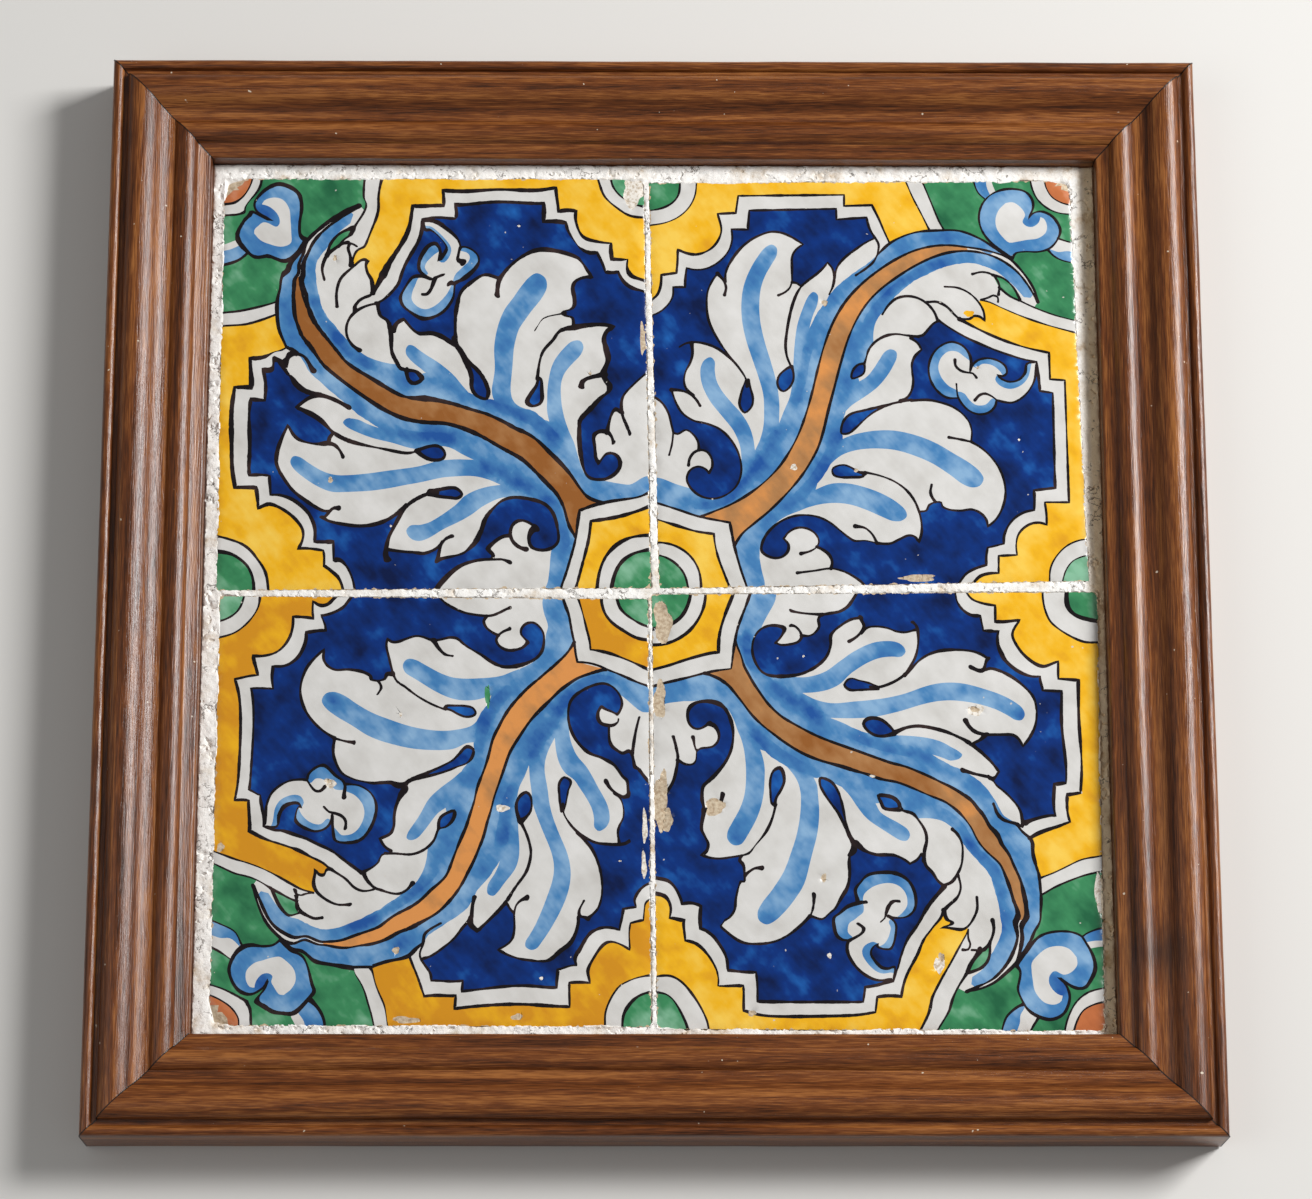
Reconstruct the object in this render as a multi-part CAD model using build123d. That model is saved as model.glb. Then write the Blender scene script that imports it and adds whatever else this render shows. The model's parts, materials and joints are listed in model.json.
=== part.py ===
"""Four old glazed tiles bedded in lime mortar, in a moulded wooden frame.

The panel lies on its back, face up. +X runs along the bottom rail to the
right, +Y up the picture and +Z out of the glazed face. The origin is the
middle of the back, on the plane that the panel rests on. Sizes are in mm.
"""
from build123d import *
import math
import os

# Tiles: cut by hand to about this square, a little narrower at the back so that mortar can key in
tile_side = 200.0
tile_thickness = 11.0
tile_back_inset = 1.5
tile_arris = 0.6
joint_width = 2.0

# How far the laid block sits from the middle of the frame, right and up
block_shift_x = -0.8
block_shift_y = -1.8

# Margin of mortar between the block of tiles and the wood, mean of both sides
mortar_margin = 6.0
mortar_under_tile = 3.0
mortar_below_glaze = 1.0

# Board across the back, let into the rails
board_thickness = 4.0
rebate_width = 8.0
board_clearance = 0.5

# Moulding of the rails, in widths counted outwards from the sight edge
band_width = 6.3
bead_width = 10.7
cove_width = 8.0
hump_inner_width = 8.0
hump_outer_width = 6.0
quirk_width = 2.5
outer_bead_width = 5.1

# Heights of the moulding above the glaze of the tiles
sight_rise = 8.5
band_rise = 10.5
bead_rise = 14.5
bead_foot_rise = 12.0
hump_rise = 19.5
hump_foot_rise = 15.5
quirk_rise = 12.8
outer_bead_rise = 15.4
outer_foot_rise = 13.2
sight_round = 1.6
back_edge_chamfer = 1.0

# Sizes that follow from the ones above
block_side = 2 * tile_side + joint_width
opening = block_side + 2 * mortar_margin
rail_width = (band_width + bead_width + cove_width + hump_inner_width
              + hump_outer_width + quirk_width + outer_bead_width)
outer_side = opening + 2 * rail_width
tile_seat = board_thickness + mortar_under_tile
glaze_level = tile_seat + tile_thickness
tile_pitch = tile_side + joint_width

# Each tile's column and row in the block
TILE_PLACES = {
    "tile_top_left": (-1, 1),
    "tile_top_right": (1, 1),
    "tile_bottom_left": (-1, -1),
    "tile_bottom_right": (1, -1),
}
# How far each hand-cut corner lies from its true square: top left, top right, bottom right, bottom left
CORNER_DRIFTS = {
    "tile_top_left": ((-0.3, 0.8), (-2.7, 0.8), (0.6, 1.2), (0.9, -0.3)),
    "tile_top_right": ((-2.8, -1.2), (-4.4, 0.6), (-0.5, 4.8), (1.8, 0.9)),
    "tile_bottom_left": ((2.8, -0.5), (-0.7, -1.6), (0.6, 0.2), (2.4, 0.3)),
    "tile_bottom_right": ((-1.6, 0.6), (3.3, 2.1), (1.1, -1.7), (0.6, -0.7)),
}
# Chipped outer corners: how far the break reaches along each edge, and how deep it is at the corner
CORNER_CHIPS = {
    "tile_top_left": (13.0, 3.0),
    "tile_top_right": (9.0, 2.0),
    "tile_bottom_left": (12.0, 3.0),
}
CORNER_SIGNS = ((-1, 1), (1, 1), (1, -1), (-1, -1))
RAIL_TURNS = {
    "frame_bottom": 0,
    "frame_right": 90,
    "frame_top": 180,
    "frame_left": 270,
}


def tile_corners(name):
    """The four corners of one tile's face, in the order of CORNER_SIGNS."""
    column, row = TILE_PLACES[name]
    centre_x = block_shift_x + column * tile_pitch / 2
    centre_y = block_shift_y + row * tile_pitch / 2
    half = tile_side / 2
    return [(centre_x + sign_x * half + drift_x, centre_y + sign_y * half + drift_y)
            for (sign_x, sign_y), (drift_x, drift_y) in zip(CORNER_SIGNS, CORNER_DRIFTS[name])]


def chip_corner(slab, corner, signs, reach, depth):
    """Break one corner off the face with an oblique plane, steeper the deeper it goes."""
    outward = Vector(signs[0], signs[1], 0).normalized()
    run = reach / math.sqrt(2)
    foot = Vector(*corner, glaze_level) - outward * run
    normal = (outward * depth + Vector(0, 0, run)).normalized()
    return split(slab, bisect_by=Plane(origin=foot, z_dir=normal), keep=Keep.BOTTOM)


def tile(name):
    """One tile: a hand-cut slab that narrows towards its back, with an eased arris."""
    corners = tile_corners(name)
    lean = math.degrees(math.atan2(tile_back_inset, tile_thickness))
    face = Pos(0, 0, glaze_level) * make_face(Polyline(*corners, close=True))
    slab = extrude(face, amount=tile_thickness, dir=(0, 0, -1), taper=lean)
    slab = chamfer(slab.faces().sort_by(Axis.Z)[-1].edges(), tile_arris)
    if name in CORNER_CHIPS:
        outer = CORNER_SIGNS.index(TILE_PLACES[name])
        slab = chip_corner(slab, corners[outer], CORNER_SIGNS[outer], *CORNER_CHIPS[name])
    return slab


def mortar_bed(tiles):
    """The lime mortar: a slab under the tiles that also fills joints and margins."""
    top = glaze_level - mortar_below_glaze
    height = top - board_thickness
    bed = Pos(0, 0, board_thickness + height / 2) * Box(opening, opening, height)
    for laid in tiles:
        bed -= laid
    return bed


def rail_section():
    """The moulded section as a flat face: x is outwards from the sight edge, y is up."""
    bead_start = band_width
    cove_start = bead_start + bead_width
    hump_start = cove_start + cove_width
    hump_crest = hump_start + hump_inner_width
    hump_foot = hump_crest + hump_outer_width
    outer_bead = hump_foot + quirk_width
    hump_mid_rise = (bead_foot_rise + hump_rise) / 2

    def at(width, rise):
        return (width, glaze_level + rise)

    with BuildSketch() as sketch:
        with BuildLine():
            Polyline((rail_width - back_edge_chamfer, 0), (rebate_width, 0),
                     (rebate_width, board_thickness), (0, board_thickness),
                     at(0, sight_rise - sight_round))
            RadiusArc(at(0, sight_rise - sight_round), at(sight_round, sight_rise), sight_round)
            Line(at(sight_round, sight_rise), at(bead_start, band_rise))
            ThreePointArc(at(bead_start, band_rise),
                          at(bead_start + bead_width / 2, bead_rise),
                          at(cove_start, bead_foot_rise))
            TangentArc(at(cove_start, bead_foot_rise), at(hump_start, hump_mid_rise), tangent=(1, 0))
            TangentArc(at(hump_crest, hump_rise), at(hump_start, hump_mid_rise), tangent=(-1, 0))
            TangentArc(at(hump_crest, hump_rise), at(hump_foot, hump_foot_rise), tangent=(1, 0))
            Polyline(at(hump_foot, hump_foot_rise), at(hump_foot, quirk_rise), at(outer_bead, quirk_rise))
            ThreePointArc(at(outer_bead, quirk_rise),
                          at(outer_bead + outer_bead_width / 2, outer_bead_rise),
                          at(rail_width, outer_foot_rise))
            Polyline(at(rail_width, outer_foot_rise), (rail_width, back_edge_chamfer),
                     (rail_width - back_edge_chamfer, 0))
        make_face()
    return sketch.sketch


def rail(turn):
    """One rail: the section run along the side, mitred at both ends."""
    start = Plane(origin=(outer_side / 2, -opening / 2, 0), x_dir=(0, -1, 0), z_dir=(-1, 0, 0))
    length = extrude(start * rail_section(), amount=outer_side)
    inner = opening / 2
    outer = outer_side / 2
    with BuildSketch() as plan:
        Polygon((-outer, -outer), (outer, -outer), (inner, -inner), (-inner, -inner), align=None)
    mitred = length & extrude(plan.sketch, amount=glaze_level + hump_rise + sight_round)
    return Rot(0, 0, turn) * mitred


def back_board():
    """The plain board that carries the mortar, flush with the back of the rails."""
    side = opening + 2 * (rebate_width - board_clearance)
    return Pos(0, 0, board_thickness / 2) * Box(side, side, board_thickness)


def main():
    os.makedirs("parts", exist_ok=True)
    nodes = {name: tile(name) for name in TILE_PLACES}
    nodes["mortar_bed"] = mortar_bed(list(nodes.values()))
    nodes["back_board"] = back_board()
    for name, turn in RAIL_TURNS.items():
        nodes[name] = rail(turn)
    for name, solid in nodes.items():
        export_step(solid, f"parts/{name}.step")


main()
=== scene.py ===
"""Dresses a framed panel of four old hand-painted tiles round its fixed frame.

The tiles carry one quarter of a pattern each: leaf scrolls round an octagon.
The pattern is drawn once, in millimetres on a 200 mm square, and is laid on
each tile by a smooth warp, because each tile was painted by hand.
"""

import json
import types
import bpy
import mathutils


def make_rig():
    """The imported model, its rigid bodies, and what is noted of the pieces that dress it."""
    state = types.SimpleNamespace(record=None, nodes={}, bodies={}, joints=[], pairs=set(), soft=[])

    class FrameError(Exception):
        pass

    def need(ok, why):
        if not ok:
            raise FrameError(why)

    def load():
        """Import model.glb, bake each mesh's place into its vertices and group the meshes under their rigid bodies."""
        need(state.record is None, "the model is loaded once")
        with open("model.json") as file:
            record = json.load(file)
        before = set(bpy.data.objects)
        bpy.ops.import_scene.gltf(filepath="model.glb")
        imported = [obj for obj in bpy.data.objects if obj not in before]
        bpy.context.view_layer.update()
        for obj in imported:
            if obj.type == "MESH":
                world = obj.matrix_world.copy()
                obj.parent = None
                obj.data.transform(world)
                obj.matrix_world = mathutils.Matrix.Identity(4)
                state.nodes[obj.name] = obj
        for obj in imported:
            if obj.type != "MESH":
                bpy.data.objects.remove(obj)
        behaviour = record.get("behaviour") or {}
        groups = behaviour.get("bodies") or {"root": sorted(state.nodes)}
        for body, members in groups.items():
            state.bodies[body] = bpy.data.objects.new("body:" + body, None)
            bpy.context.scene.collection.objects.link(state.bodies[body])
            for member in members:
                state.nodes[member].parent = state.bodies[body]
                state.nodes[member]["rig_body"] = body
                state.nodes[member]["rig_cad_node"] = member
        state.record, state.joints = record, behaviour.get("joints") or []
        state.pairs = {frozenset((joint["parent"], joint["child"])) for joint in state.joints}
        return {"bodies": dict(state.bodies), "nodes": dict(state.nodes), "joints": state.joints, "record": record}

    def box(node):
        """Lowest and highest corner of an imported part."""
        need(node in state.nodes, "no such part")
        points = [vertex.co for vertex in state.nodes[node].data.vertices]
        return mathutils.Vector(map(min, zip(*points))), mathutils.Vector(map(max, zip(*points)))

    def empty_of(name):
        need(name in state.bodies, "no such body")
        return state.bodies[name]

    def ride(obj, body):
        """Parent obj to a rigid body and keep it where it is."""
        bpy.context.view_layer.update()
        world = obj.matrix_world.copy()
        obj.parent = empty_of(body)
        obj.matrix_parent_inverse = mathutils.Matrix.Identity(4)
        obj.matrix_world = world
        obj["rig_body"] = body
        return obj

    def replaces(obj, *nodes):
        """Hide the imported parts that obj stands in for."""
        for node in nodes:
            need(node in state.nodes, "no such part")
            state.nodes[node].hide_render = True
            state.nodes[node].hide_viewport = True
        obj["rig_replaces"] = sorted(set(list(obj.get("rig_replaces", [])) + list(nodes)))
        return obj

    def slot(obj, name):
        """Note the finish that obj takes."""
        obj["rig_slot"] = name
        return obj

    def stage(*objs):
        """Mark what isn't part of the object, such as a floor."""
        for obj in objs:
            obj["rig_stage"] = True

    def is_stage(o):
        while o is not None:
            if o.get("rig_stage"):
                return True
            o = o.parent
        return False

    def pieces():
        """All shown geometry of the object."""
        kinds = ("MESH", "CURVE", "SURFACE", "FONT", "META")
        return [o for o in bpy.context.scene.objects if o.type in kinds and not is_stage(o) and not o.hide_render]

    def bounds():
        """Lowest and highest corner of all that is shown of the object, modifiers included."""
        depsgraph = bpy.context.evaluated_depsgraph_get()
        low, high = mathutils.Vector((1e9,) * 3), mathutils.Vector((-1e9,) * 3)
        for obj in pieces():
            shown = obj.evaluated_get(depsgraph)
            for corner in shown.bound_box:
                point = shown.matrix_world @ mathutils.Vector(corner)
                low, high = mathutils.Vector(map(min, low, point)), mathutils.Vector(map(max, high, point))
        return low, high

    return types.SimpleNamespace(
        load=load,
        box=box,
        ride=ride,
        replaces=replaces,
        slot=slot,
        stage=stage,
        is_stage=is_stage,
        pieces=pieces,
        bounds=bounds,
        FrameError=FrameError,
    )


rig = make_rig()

bl_info = {
    "name": "Framed tile panel",
    "version": (1, 0, 0),
    "blender": (4, 5, 0),
    "location": "View3D > Sidebar > Tile Panel",
    "description": "Painted tiles, lime mortar and a moulded frame round a packed model",
    "category": "Object",
}

import json
import math

import bmesh
import bpy
import numpy as np
from mathutils import Vector, noise
from mathutils.geometry import delaunay_2d_cdt

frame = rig.load()
CAD_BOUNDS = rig.bounds()

MM = 0.001
TILES = ("tile_top_left", "tile_top_right", "tile_bottom_left", "tile_bottom_right")
RAILS = ("frame_bottom", "frame_right", "frame_top", "frame_left")

# The design square of each tile: the panel's centre is at (0, 0), so three tiles are turned.
# The square's corners, as the panel's top left, top right, bottom right and bottom left.
DESIGN_CORNERS = {
    "tile_top_right": ((0, 200), (200, 200), (200, 0), (0, 0)),
    "tile_top_left": ((200, 200), (200, 0), (0, 0), (0, 200)),
    "tile_bottom_left": ((200, 0), (0, 0), (0, 200), (200, 200)),
    "tile_bottom_right": ((0, 0), (0, 200), (200, 200), (200, 0)),
}
CORNER_SIGNS = ((-1, 1), (1, 1), (1, -1), (-1, -1))

# Ink lines of the pattern, in mm. A line is a list of runs: a run is one smooth curve, and the
# next run goes on from its last point with a corner. Past 0 or 200 the tile's edge cuts them.
LINES = {
    # octagon and discs
    "octagon_outer": [[(-3, 42.6), (10, 38), (19, 34.7), (33.5, 31.4)],
                      [(34.2, 27), (35.3, 20), (38, 8.5), (39.8, 2.5), (41.5, -3)]],
    "octagon_inner": [[(-3, 34.6), (10, 30), (18, 27.4), (26, 26)],
                      [(26.3, 22), (27.6, 15), (30, 7.5), (33.7, -3)]],
    "octagon_ring": [[(-3, 22.4), (2, 22.2), (7, 21), (12, 18.2), (16, 14), (18.6, 8.5), (19.4, 3),
                      (19.4, -3)]],
    "octagon_disc": [[(-3, 16.4), (1, 16), (5.5, 14), (9.5, 10.5), (12.2, 6), (14, -3)]],
    "left_ring": [[(-3, 178.4), (2, 178.7), (8, 179.9), (14, 182.8), (18.8, 187.5), (21.7, 193.5),
                   (22.8, 203)]],
    "left_disc": [[(-3, 185.9), (2, 186.1), (7, 187.4), (11.3, 190), (14, 194), (15, 203)]],
    "right_ring": [[(203, 20.8), (196, 20), (190, 17.3), (185, 12.3), (182, 6.5), (181.2, -3)]],
    "right_disc": [[(203, 13), (197, 12), (192.5, 9.8), (189.5, 6), (187.5, 0.5), (187, -3)]],
    # stepped white band, its yellow side and its cobalt side, in both branches
    "step_a_outer": [[(-3, 140), (0, 141.3), (2.8, 143.8), (4.4, 148), (5, 153.6)], [(12, 154.6)],
                     [(12.6, 160), (12.9, 166.2)],
                     [(17, 164.4), (21, 163.7), (25, 164.6), (29, 167), (32.2, 171.2), (33.6, 176),
                      (32.1, 184)],
                     [(40.6, 184.4)], [(42, 193)], [(92, 193.2)], [(91.8, 187.6)], [(105, 187.9)],
                     [(108, 181), (110.4, 174.5), (112.8, 168.5)]],
    "step_a_inner": [[(-3, 133), (0, 133.6), (4, 135.4), (7.8, 139), (10, 143), (10.3, 147.5)],
                     [(15.8, 147.5)],
                     [(16.1, 152), (16.8, 157)],
                     [(20, 156.2), (24, 156.2), (28.4, 157.6), (33.2, 161), (36.8, 165.6), (38.5, 171),
                      (38.4, 176.2)],
                     [(46, 176)], [(47, 185.6)], [(88, 186.2)], [(88, 180.8)], [(102.2, 181.7)],
                     [(103.5, 176), (106, 171.2)]],
    "step_b_outer": [[(143.5, -3), (146, 0.6), (149, 3.4), (153, 4.6), (157.6, 4.8)], [(158, 13.1)],
                     [(166.6, 13.4)],
                     [(166.4, 18), (167.5, 23), (170.2, 26.4), (174, 28.6), (178, 29), (181.2, 28)],
                     [(181.3, 33), (180.8, 39)], [(192.2, 38.8)], [(193, 99.2)], [(186, 99.8)],
                     [(186.1, 113)],
                     [(176, 115.5), (165, 119.4), (154.5, 124.4), (144.3, 130.3)]],
    "step_b_inner": [[(136.5, -3), (139.5, 1), (142.4, 4.6), (146.5, 7), (152, 8.8)], [(152.2, 13),
                                                                                       (153, 17.2)],
                     [(156.5, 18), (160.6, 19)],
                     [(161, 23), (163.3, 28), (167, 32), (171.5, 34.4), (175.6, 35.2)],
                     [(176, 40), (176, 44.9)], [(186, 46)], [(187, 93)], [(181, 94)], [(180.6, 101),
                                                                                       (180, 108.6)],
                     [(175, 109.6), (168, 111.8), (158, 115.8), (148, 120.6), (140, 125.6), (134.6, 129.6)]],
    # white arc band in front of the green corner
    "arc_a_yellow": [[(120.5, 203), (122, 198.5), (124.6, 191.5), (128, 184), (131.8, 175.2)]],
    "arc_a_green": [[(128, 203), (129.8, 198.5), (133, 189.6), (136.6, 179.5), (138.8, 175)]],
    "arc_b_yellow": [[(155, 139.8), (159, 138.6), (165, 135.6), (174, 131.4), (185, 127.2), (203, 121.8)]],
    "arc_b_green": [[(174, 138.9), (180, 135.8), (190, 131.7), (203, 128)]],
    # stem and leaf
    "stem_left": [[(20.5, 34.6), (27, 37.2), (34, 40.1), (42, 44.7), (50, 50.8), (57, 58), (62, 65.3),
                   (66.4, 73.5),
                   (70.3, 83.5), (73.8, 95), (76.8, 106.5), (80.2, 118), (84.8, 129.5), (90.8, 139.5),
                   (98, 147.6),
                   (106, 154.3), (115, 160.3), (124, 164.7), (133, 167), (141, 167.4), (149, 166.4),
                   (157, 165),
                   (164, 163), (170, 160.3)]],
    "stem_right": [[(35.3, 20.3), (39.2, 26), (45, 31), (52, 36.8), (60, 44.8), (67, 53), (72, 60.6),
                    (75.6, 67.4),
                    (78.2, 75), (80.8, 85), (84.2, 97), (87.6, 109), (91.5, 121), (95.8, 130.5), (101, 138.6),
                    (107, 145), (115, 151.2), (124, 157), (133, 161.4), (141, 163.8), (150, 164.4),
                    (158, 163),
                    (165, 160), (172, 154.6), (177, 148), (181.8, 139)]],
    "leaf_top": [[(106.8, 163), (112.8, 168.6), (119, 172), (126, 174.2), (135, 174.9), (146, 174.6),
                  (155, 171),
                  (163, 165.6), (170, 160), (176.5, 152), (180.5, 144.5), (182, 138.5)]],
    # lobes on the outer side of the stem
    "joint_lobe_a": [[(-3, 94.6), (0, 93.4), (4, 90), (6.6, 85), (7.8, 79.5), (8.6, 75.6)],
                     [(10.6, 75), (14.6, 76.9), (18, 74.4), (19.9, 71), (20.2, 67)]],
    "joint_spur_a": [[(8.6, 76), (7.8, 70), (6.4, 64.8)]],
    "hook_a_outer": [[(8.2, 96.7), (10.3, 90), (13, 85.2), (18, 81.5), (24, 79.9), (30, 77.2), (35, 72),
                      (38.5, 65),
                      (39.6, 57), (37.6, 50), (33, 45.4), (27, 43.2), (21, 44.2), (16.3, 48), (14.2, 53),
                      (16, 57.3),
                      (19.5, 58.9), (22.6, 57.9), (24.6, 55.8)]],
    "hook_a_inner": [[(24.6, 55.8), (26.1, 58.7), (26.1, 62.3), (24.2, 65.8), (21, 67), (17.9, 65.8),
                      (15.8, 62.8),
                      (15.2, 59.6)]],
    "lobe_1_spur": [[(8.2, 96.7), (12, 96.4), (16, 95), (19.4, 92), (21.3, 88.7)]],
    "lobe_1_left": [[(18.2, 119.6), (18.5, 114.5), (17.3, 110), (15, 105.5), (14.2, 101), (15, 97.4),
                     (18.4, 93.8)]],
    "lobe_1_top": [[(12.5, 117.8), (15.2, 119.4), (19, 120.1), (24, 119.4), (30, 116.9), (36, 112),
                    (40.4, 106.4),
                    (43, 101.5), (43.4, 98)]],
    "lobe_2_spur": [[(31.2, 154.1), (33.8, 150.8), (35, 147.2), (34.2, 143.4)]],
    "lobe_2_left": [[(31.2, 154.1), (28.6, 150.4), (26.4, 145.3), (25.7, 138.3), (26.4, 131), (28.7, 124.8),
                     (32, 118.6), (36.4, 112)]],
    "lobe_2_top": [[(34.6, 150), (35.2, 155), (38, 160.8), (42, 166.2), (47, 170.6), (52, 173.3), (57, 174.8),
                    (62, 174.2), (67, 171.8), (71.8, 168.4)],
                   [(68.4, 165.8), (66.5, 162.4), (66.2, 156), (66, 149.6)],
                   [(64.8, 146.6), (62.4, 144.4), (59.4, 143)]],
    "lobe_3_left": [[(66, 149.4), (68.3, 148.9), (70.2, 147.2)],
                    [(68.3, 144.2), (66, 138.6), (64, 131), (62.7, 124), (62, 118), (62.5, 112.5),
                     (64.2, 107.6)]],
    "lobe_3_top": [[(70.2, 147.4), (74, 150.6), (78, 153.7), (81.3, 156.9), (83, 159.2)],
                   [(85.2, 156.2), (86, 152), (85.2, 147.4), (83.3, 143.2)]],
    "lobe_4_top": [[(86.1, 151.4), (87.5, 156.8), (91, 161.3), (96, 165.3), (101, 168.8), (106, 171.4)],
                   [(107.5, 168), (106.8, 163)],
                   [(104.6, 159.2), (101, 156), (96.2, 152.7)]],
    # lobes on the inner side of the stem
    "hook_b_outer": [[(101.4, 20.3), (96, 21.6), (91, 21.6), (88, 23.6), (84.4, 26.8), (80, 30.6), (75, 33.3),
                      (69, 34.5), (63, 34), (57, 31.5), (52, 27.5), (48.5, 22), (47.8, 17.6), (50, 15.2),
                      (54, 13.8),
                      (57.6, 14.6), (60, 17.2), (60.3, 20.4), (58.2, 23.2)]],
    "hook_b_inner": [[(58.2, 23.2), (60.5, 26.2), (64.5, 28.3), (69, 28), (73, 25.3), (74.5, 21.8),
                      (73.4, 19),
                      (70.5, 17), (66, 15.8)]],
    "joint_lobe_b": [[(73.4, 19), (76, 17.6), (79, 15), (80.3, 11.5), (79.6, 8.3)]],
    "joint_spur_b": [[(64, 6.5), (72, 7.4), (79.6, 8.3), (86, 6.6), (91, 3.6), (94.3, 0.8), (97, -3)]],
    "lobe_5_spur": [[(91.6, 28.7), (96, 27.8), (99.4, 24.6), (101.4, 20.3)]],
    "lobe_5_low": [[(101.4, 20.3), (105, 19.9), (108, 20.1), (112, 22), (116.4, 23.8), (119.3, 23),
                    (121, 20.4)],
                   [(122.4, 25), (122.5, 30), (121.6, 35.3), (119.5, 41), (116, 46), (110.6, 50.3),
                    (104, 53.2),
                    (97, 55)]],
    "lobe_6_low": [[(121.6, 35.3), (125, 35.8), (126.4, 38.4), (129.4, 40)], [(132.2, 39.6), (132.6, 37.8),
                   (135.4, 36.2), (141, 35.5), (146.4, 36), (150.6, 34), (153, 30.8), (153.5, 27.4)],
                   [(157.5, 31), (160.5, 36), (162.3, 42), (162.3, 48.4), (160.5, 55), (156.6, 61.5),
                    (152, 66.2),
                    (147.4, 69.3)]],
    "lobe_6_spur": [[(128, 48.4), (127.3, 44.6), (128.1, 42), (129.4, 40)]],
    "lobe_6_nick": [[(137, 71.6), (142, 70.6), (147.4, 69.3)]],
    "lobe_6_top": [[(147.4, 69.3), (147.9, 74.5), (147, 78.6), (144, 83), (139.5, 86.6), (134, 88.8),
                    (128, 90.2),
                    (120, 90)]],
    "wedge": [[(120, 90.4), (112, 88.9), (104, 86.9), (97, 85.3), (91.5, 83.8), (88.2, 80.8), (86.8, 77),
               (86.8, 74.2),
               (90, 74.2), (93.2, 76.6), (97, 80.2), (101.5, 84), (107, 87), (113, 89), (120, 90.2)]],
    "lobe_7_low": [[(115, 89.8), (118, 91.4), (120.2, 94.6), (121.3, 99.4), (121, 104), (121, 108),
                    (122.6, 112),
                    (125.8, 115.2)],
                   [(124.2, 118.4), (121, 121)]],
    "lobe_7_top": [[(124.6, 121.7), (119, 122.4), (114, 123.1), (109, 122.2), (104.2, 119.4), (101, 115.5),
                    (99.5, 111), (98.6, 108.4)]],
    "lobe_8_low": [[(122, 121.8), (126.6, 122.4), (129.6, 125.6), (132, 128.2), (134.6, 129.6)]],
    "lobe_8_top": [[(108, 133), (111, 137.5), (115, 140.9), (120, 142), (125, 141), (129.5, 138),
                    (132.5, 134),
                    (134, 129.8)]],
    "band_end": [[(129.3, 138.9), (134, 139), (138.5, 136.6), (142, 132.6), (144.3, 130.3)]],
    "lobe_9_top": [[(138, 146.6), (144, 146), (149, 143.6), (153, 139.7), (155.8, 134.5), (156.4, 129.2)],
                   [(154, 131.4), (151, 131.7), (149.4, 130.4), (144.3, 130.3)]],
    "lobe_10_top": [[(151.4, 152.8), (156, 153.8), (161, 152.3), (163.9, 147.4), (163.4, 142.4)]],
    "lobe_10_curl": [[(155, 139.8), (158.4, 140.9), (161, 142), (163, 141), (163, 138.7)]],
    "sliver": [[(161, 152.3), (166, 150.6), (170.4, 146.2), (174, 138.9)], [(169, 141.4), (163.8, 146)]],
    # volute and discs in the green corner
    "volute": [[(170.6, 160.6), (164.4, 165.6), (159.4, 170.4), (156.4, 176), (155.7, 182), (157.5, 188),
                (161.5, 192.6), (167, 195.2), (173, 195.7), (178.5, 194.2), (181.4, 190.5), (181.8, 186.4),
                (179.2, 180.4)],
               [(181.6, 183.2), (185.5, 184.2), (190, 182.3), (193, 178.6), (194.3, 174.4), (192.5, 169.5),
                (188.8, 165.5), (183.5, 163.8), (177, 163.9), (172.6, 163.2), (170.6, 160.6)]],
    "corner_ring": [[(180.9, 203), (181.6, 196.5), (184, 190.5), (188.4, 186), (194, 183.4), (203, 182.4)]],
    "corner_disc": [[(187.6, 203), (188.4, 196.5), (191, 191.6), (195.4, 188.6), (203, 186.6)]],
    "tail_a": [[(153.6, 203), (154.4, 197.5), (156, 193.6), (158.8, 190.8)]],
    "tail_b_low": [[(188, 164.6), (190.4, 161.8), (194.4, 159.4), (203, 157.4)]],
    "tail_b_top": [[(193, 170.5), (197, 169), (203, 167.5)]],
    # cloud curl on the cobalt field
    "cloud": [[(141.6, 98), (142, 92), (143.5, 88.6), (146.6, 85), (151, 82.9), (156, 83.5), (159.3, 86.5),
               (160.3, 89.7)],
              [(163.5, 88.8), (167.5, 88.4), (172, 90.5), (176, 94.6), (178.6, 99.5), (180, 108.4)],
              [(175.4, 107.6), (174.4, 103.4), (171.4, 99.8), (167, 98.7), (163.4, 100), (161, 102.2)],
              [(163.6, 101.6), (165.6, 103), (165.2, 106.4), (162, 109.2), (157, 110.6), (152.2, 109.6),
               (149.4, 107), (148.2, 103.6)],
              [(149, 108.4), (148.3, 112.8), (145, 117.2), (140, 118.9), (134.5, 116.7), (130.5, 112),
               (128.8, 106), (129.5, 100), (132.5, 94.6), (137, 91.2), (141.9, 91)]],
    "cloud_hook_a": [[(141.4, 110), (141.6, 107), (144, 104.5), (147, 103.6), (149.6, 103.1), (151.2, 101)]],
    "cloud_hook_b": [[(150, 89.8), (152.2, 92.2), (155, 93), (158.4, 91.4), (160.3, 89.7)]],
    # cobalt drops at the roots of the lobes, each closed on itself
    "drop_1": [[(43, 101.5), (41, 96), (40, 92), (39.6, 89.5), (40.5, 86.5), (42, 85), (44, 86.3),
                (45.5, 88.5),
                (46, 92), (45, 97), (44, 101)]],
    "drop_2": [[(64.2, 107.6), (61.5, 106), (58.5, 103), (57.6, 99.5), (58.5, 96.5), (60.3, 95.3), (63, 97),
                (65, 100.5), (65.3, 104), (64.6, 107.5)]],
    "drop_3": [[(97, 54.5), (94, 55.2), (91, 57.2), (87.5, 58.7), (83.5, 58), (81.8, 56.5), (82.5, 53.8),
                (85, 52.8),
                (91, 52.6), (96, 53), (97, 54.5)]],
    "drop_4": [[(98.6, 108.6), (96, 108.2), (93.6, 106), (92.4, 103), (92.6, 101.3), (95, 101.8), (98, 103.6),
                (98.8, 106), (98.6, 108.6)]],
}
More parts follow.
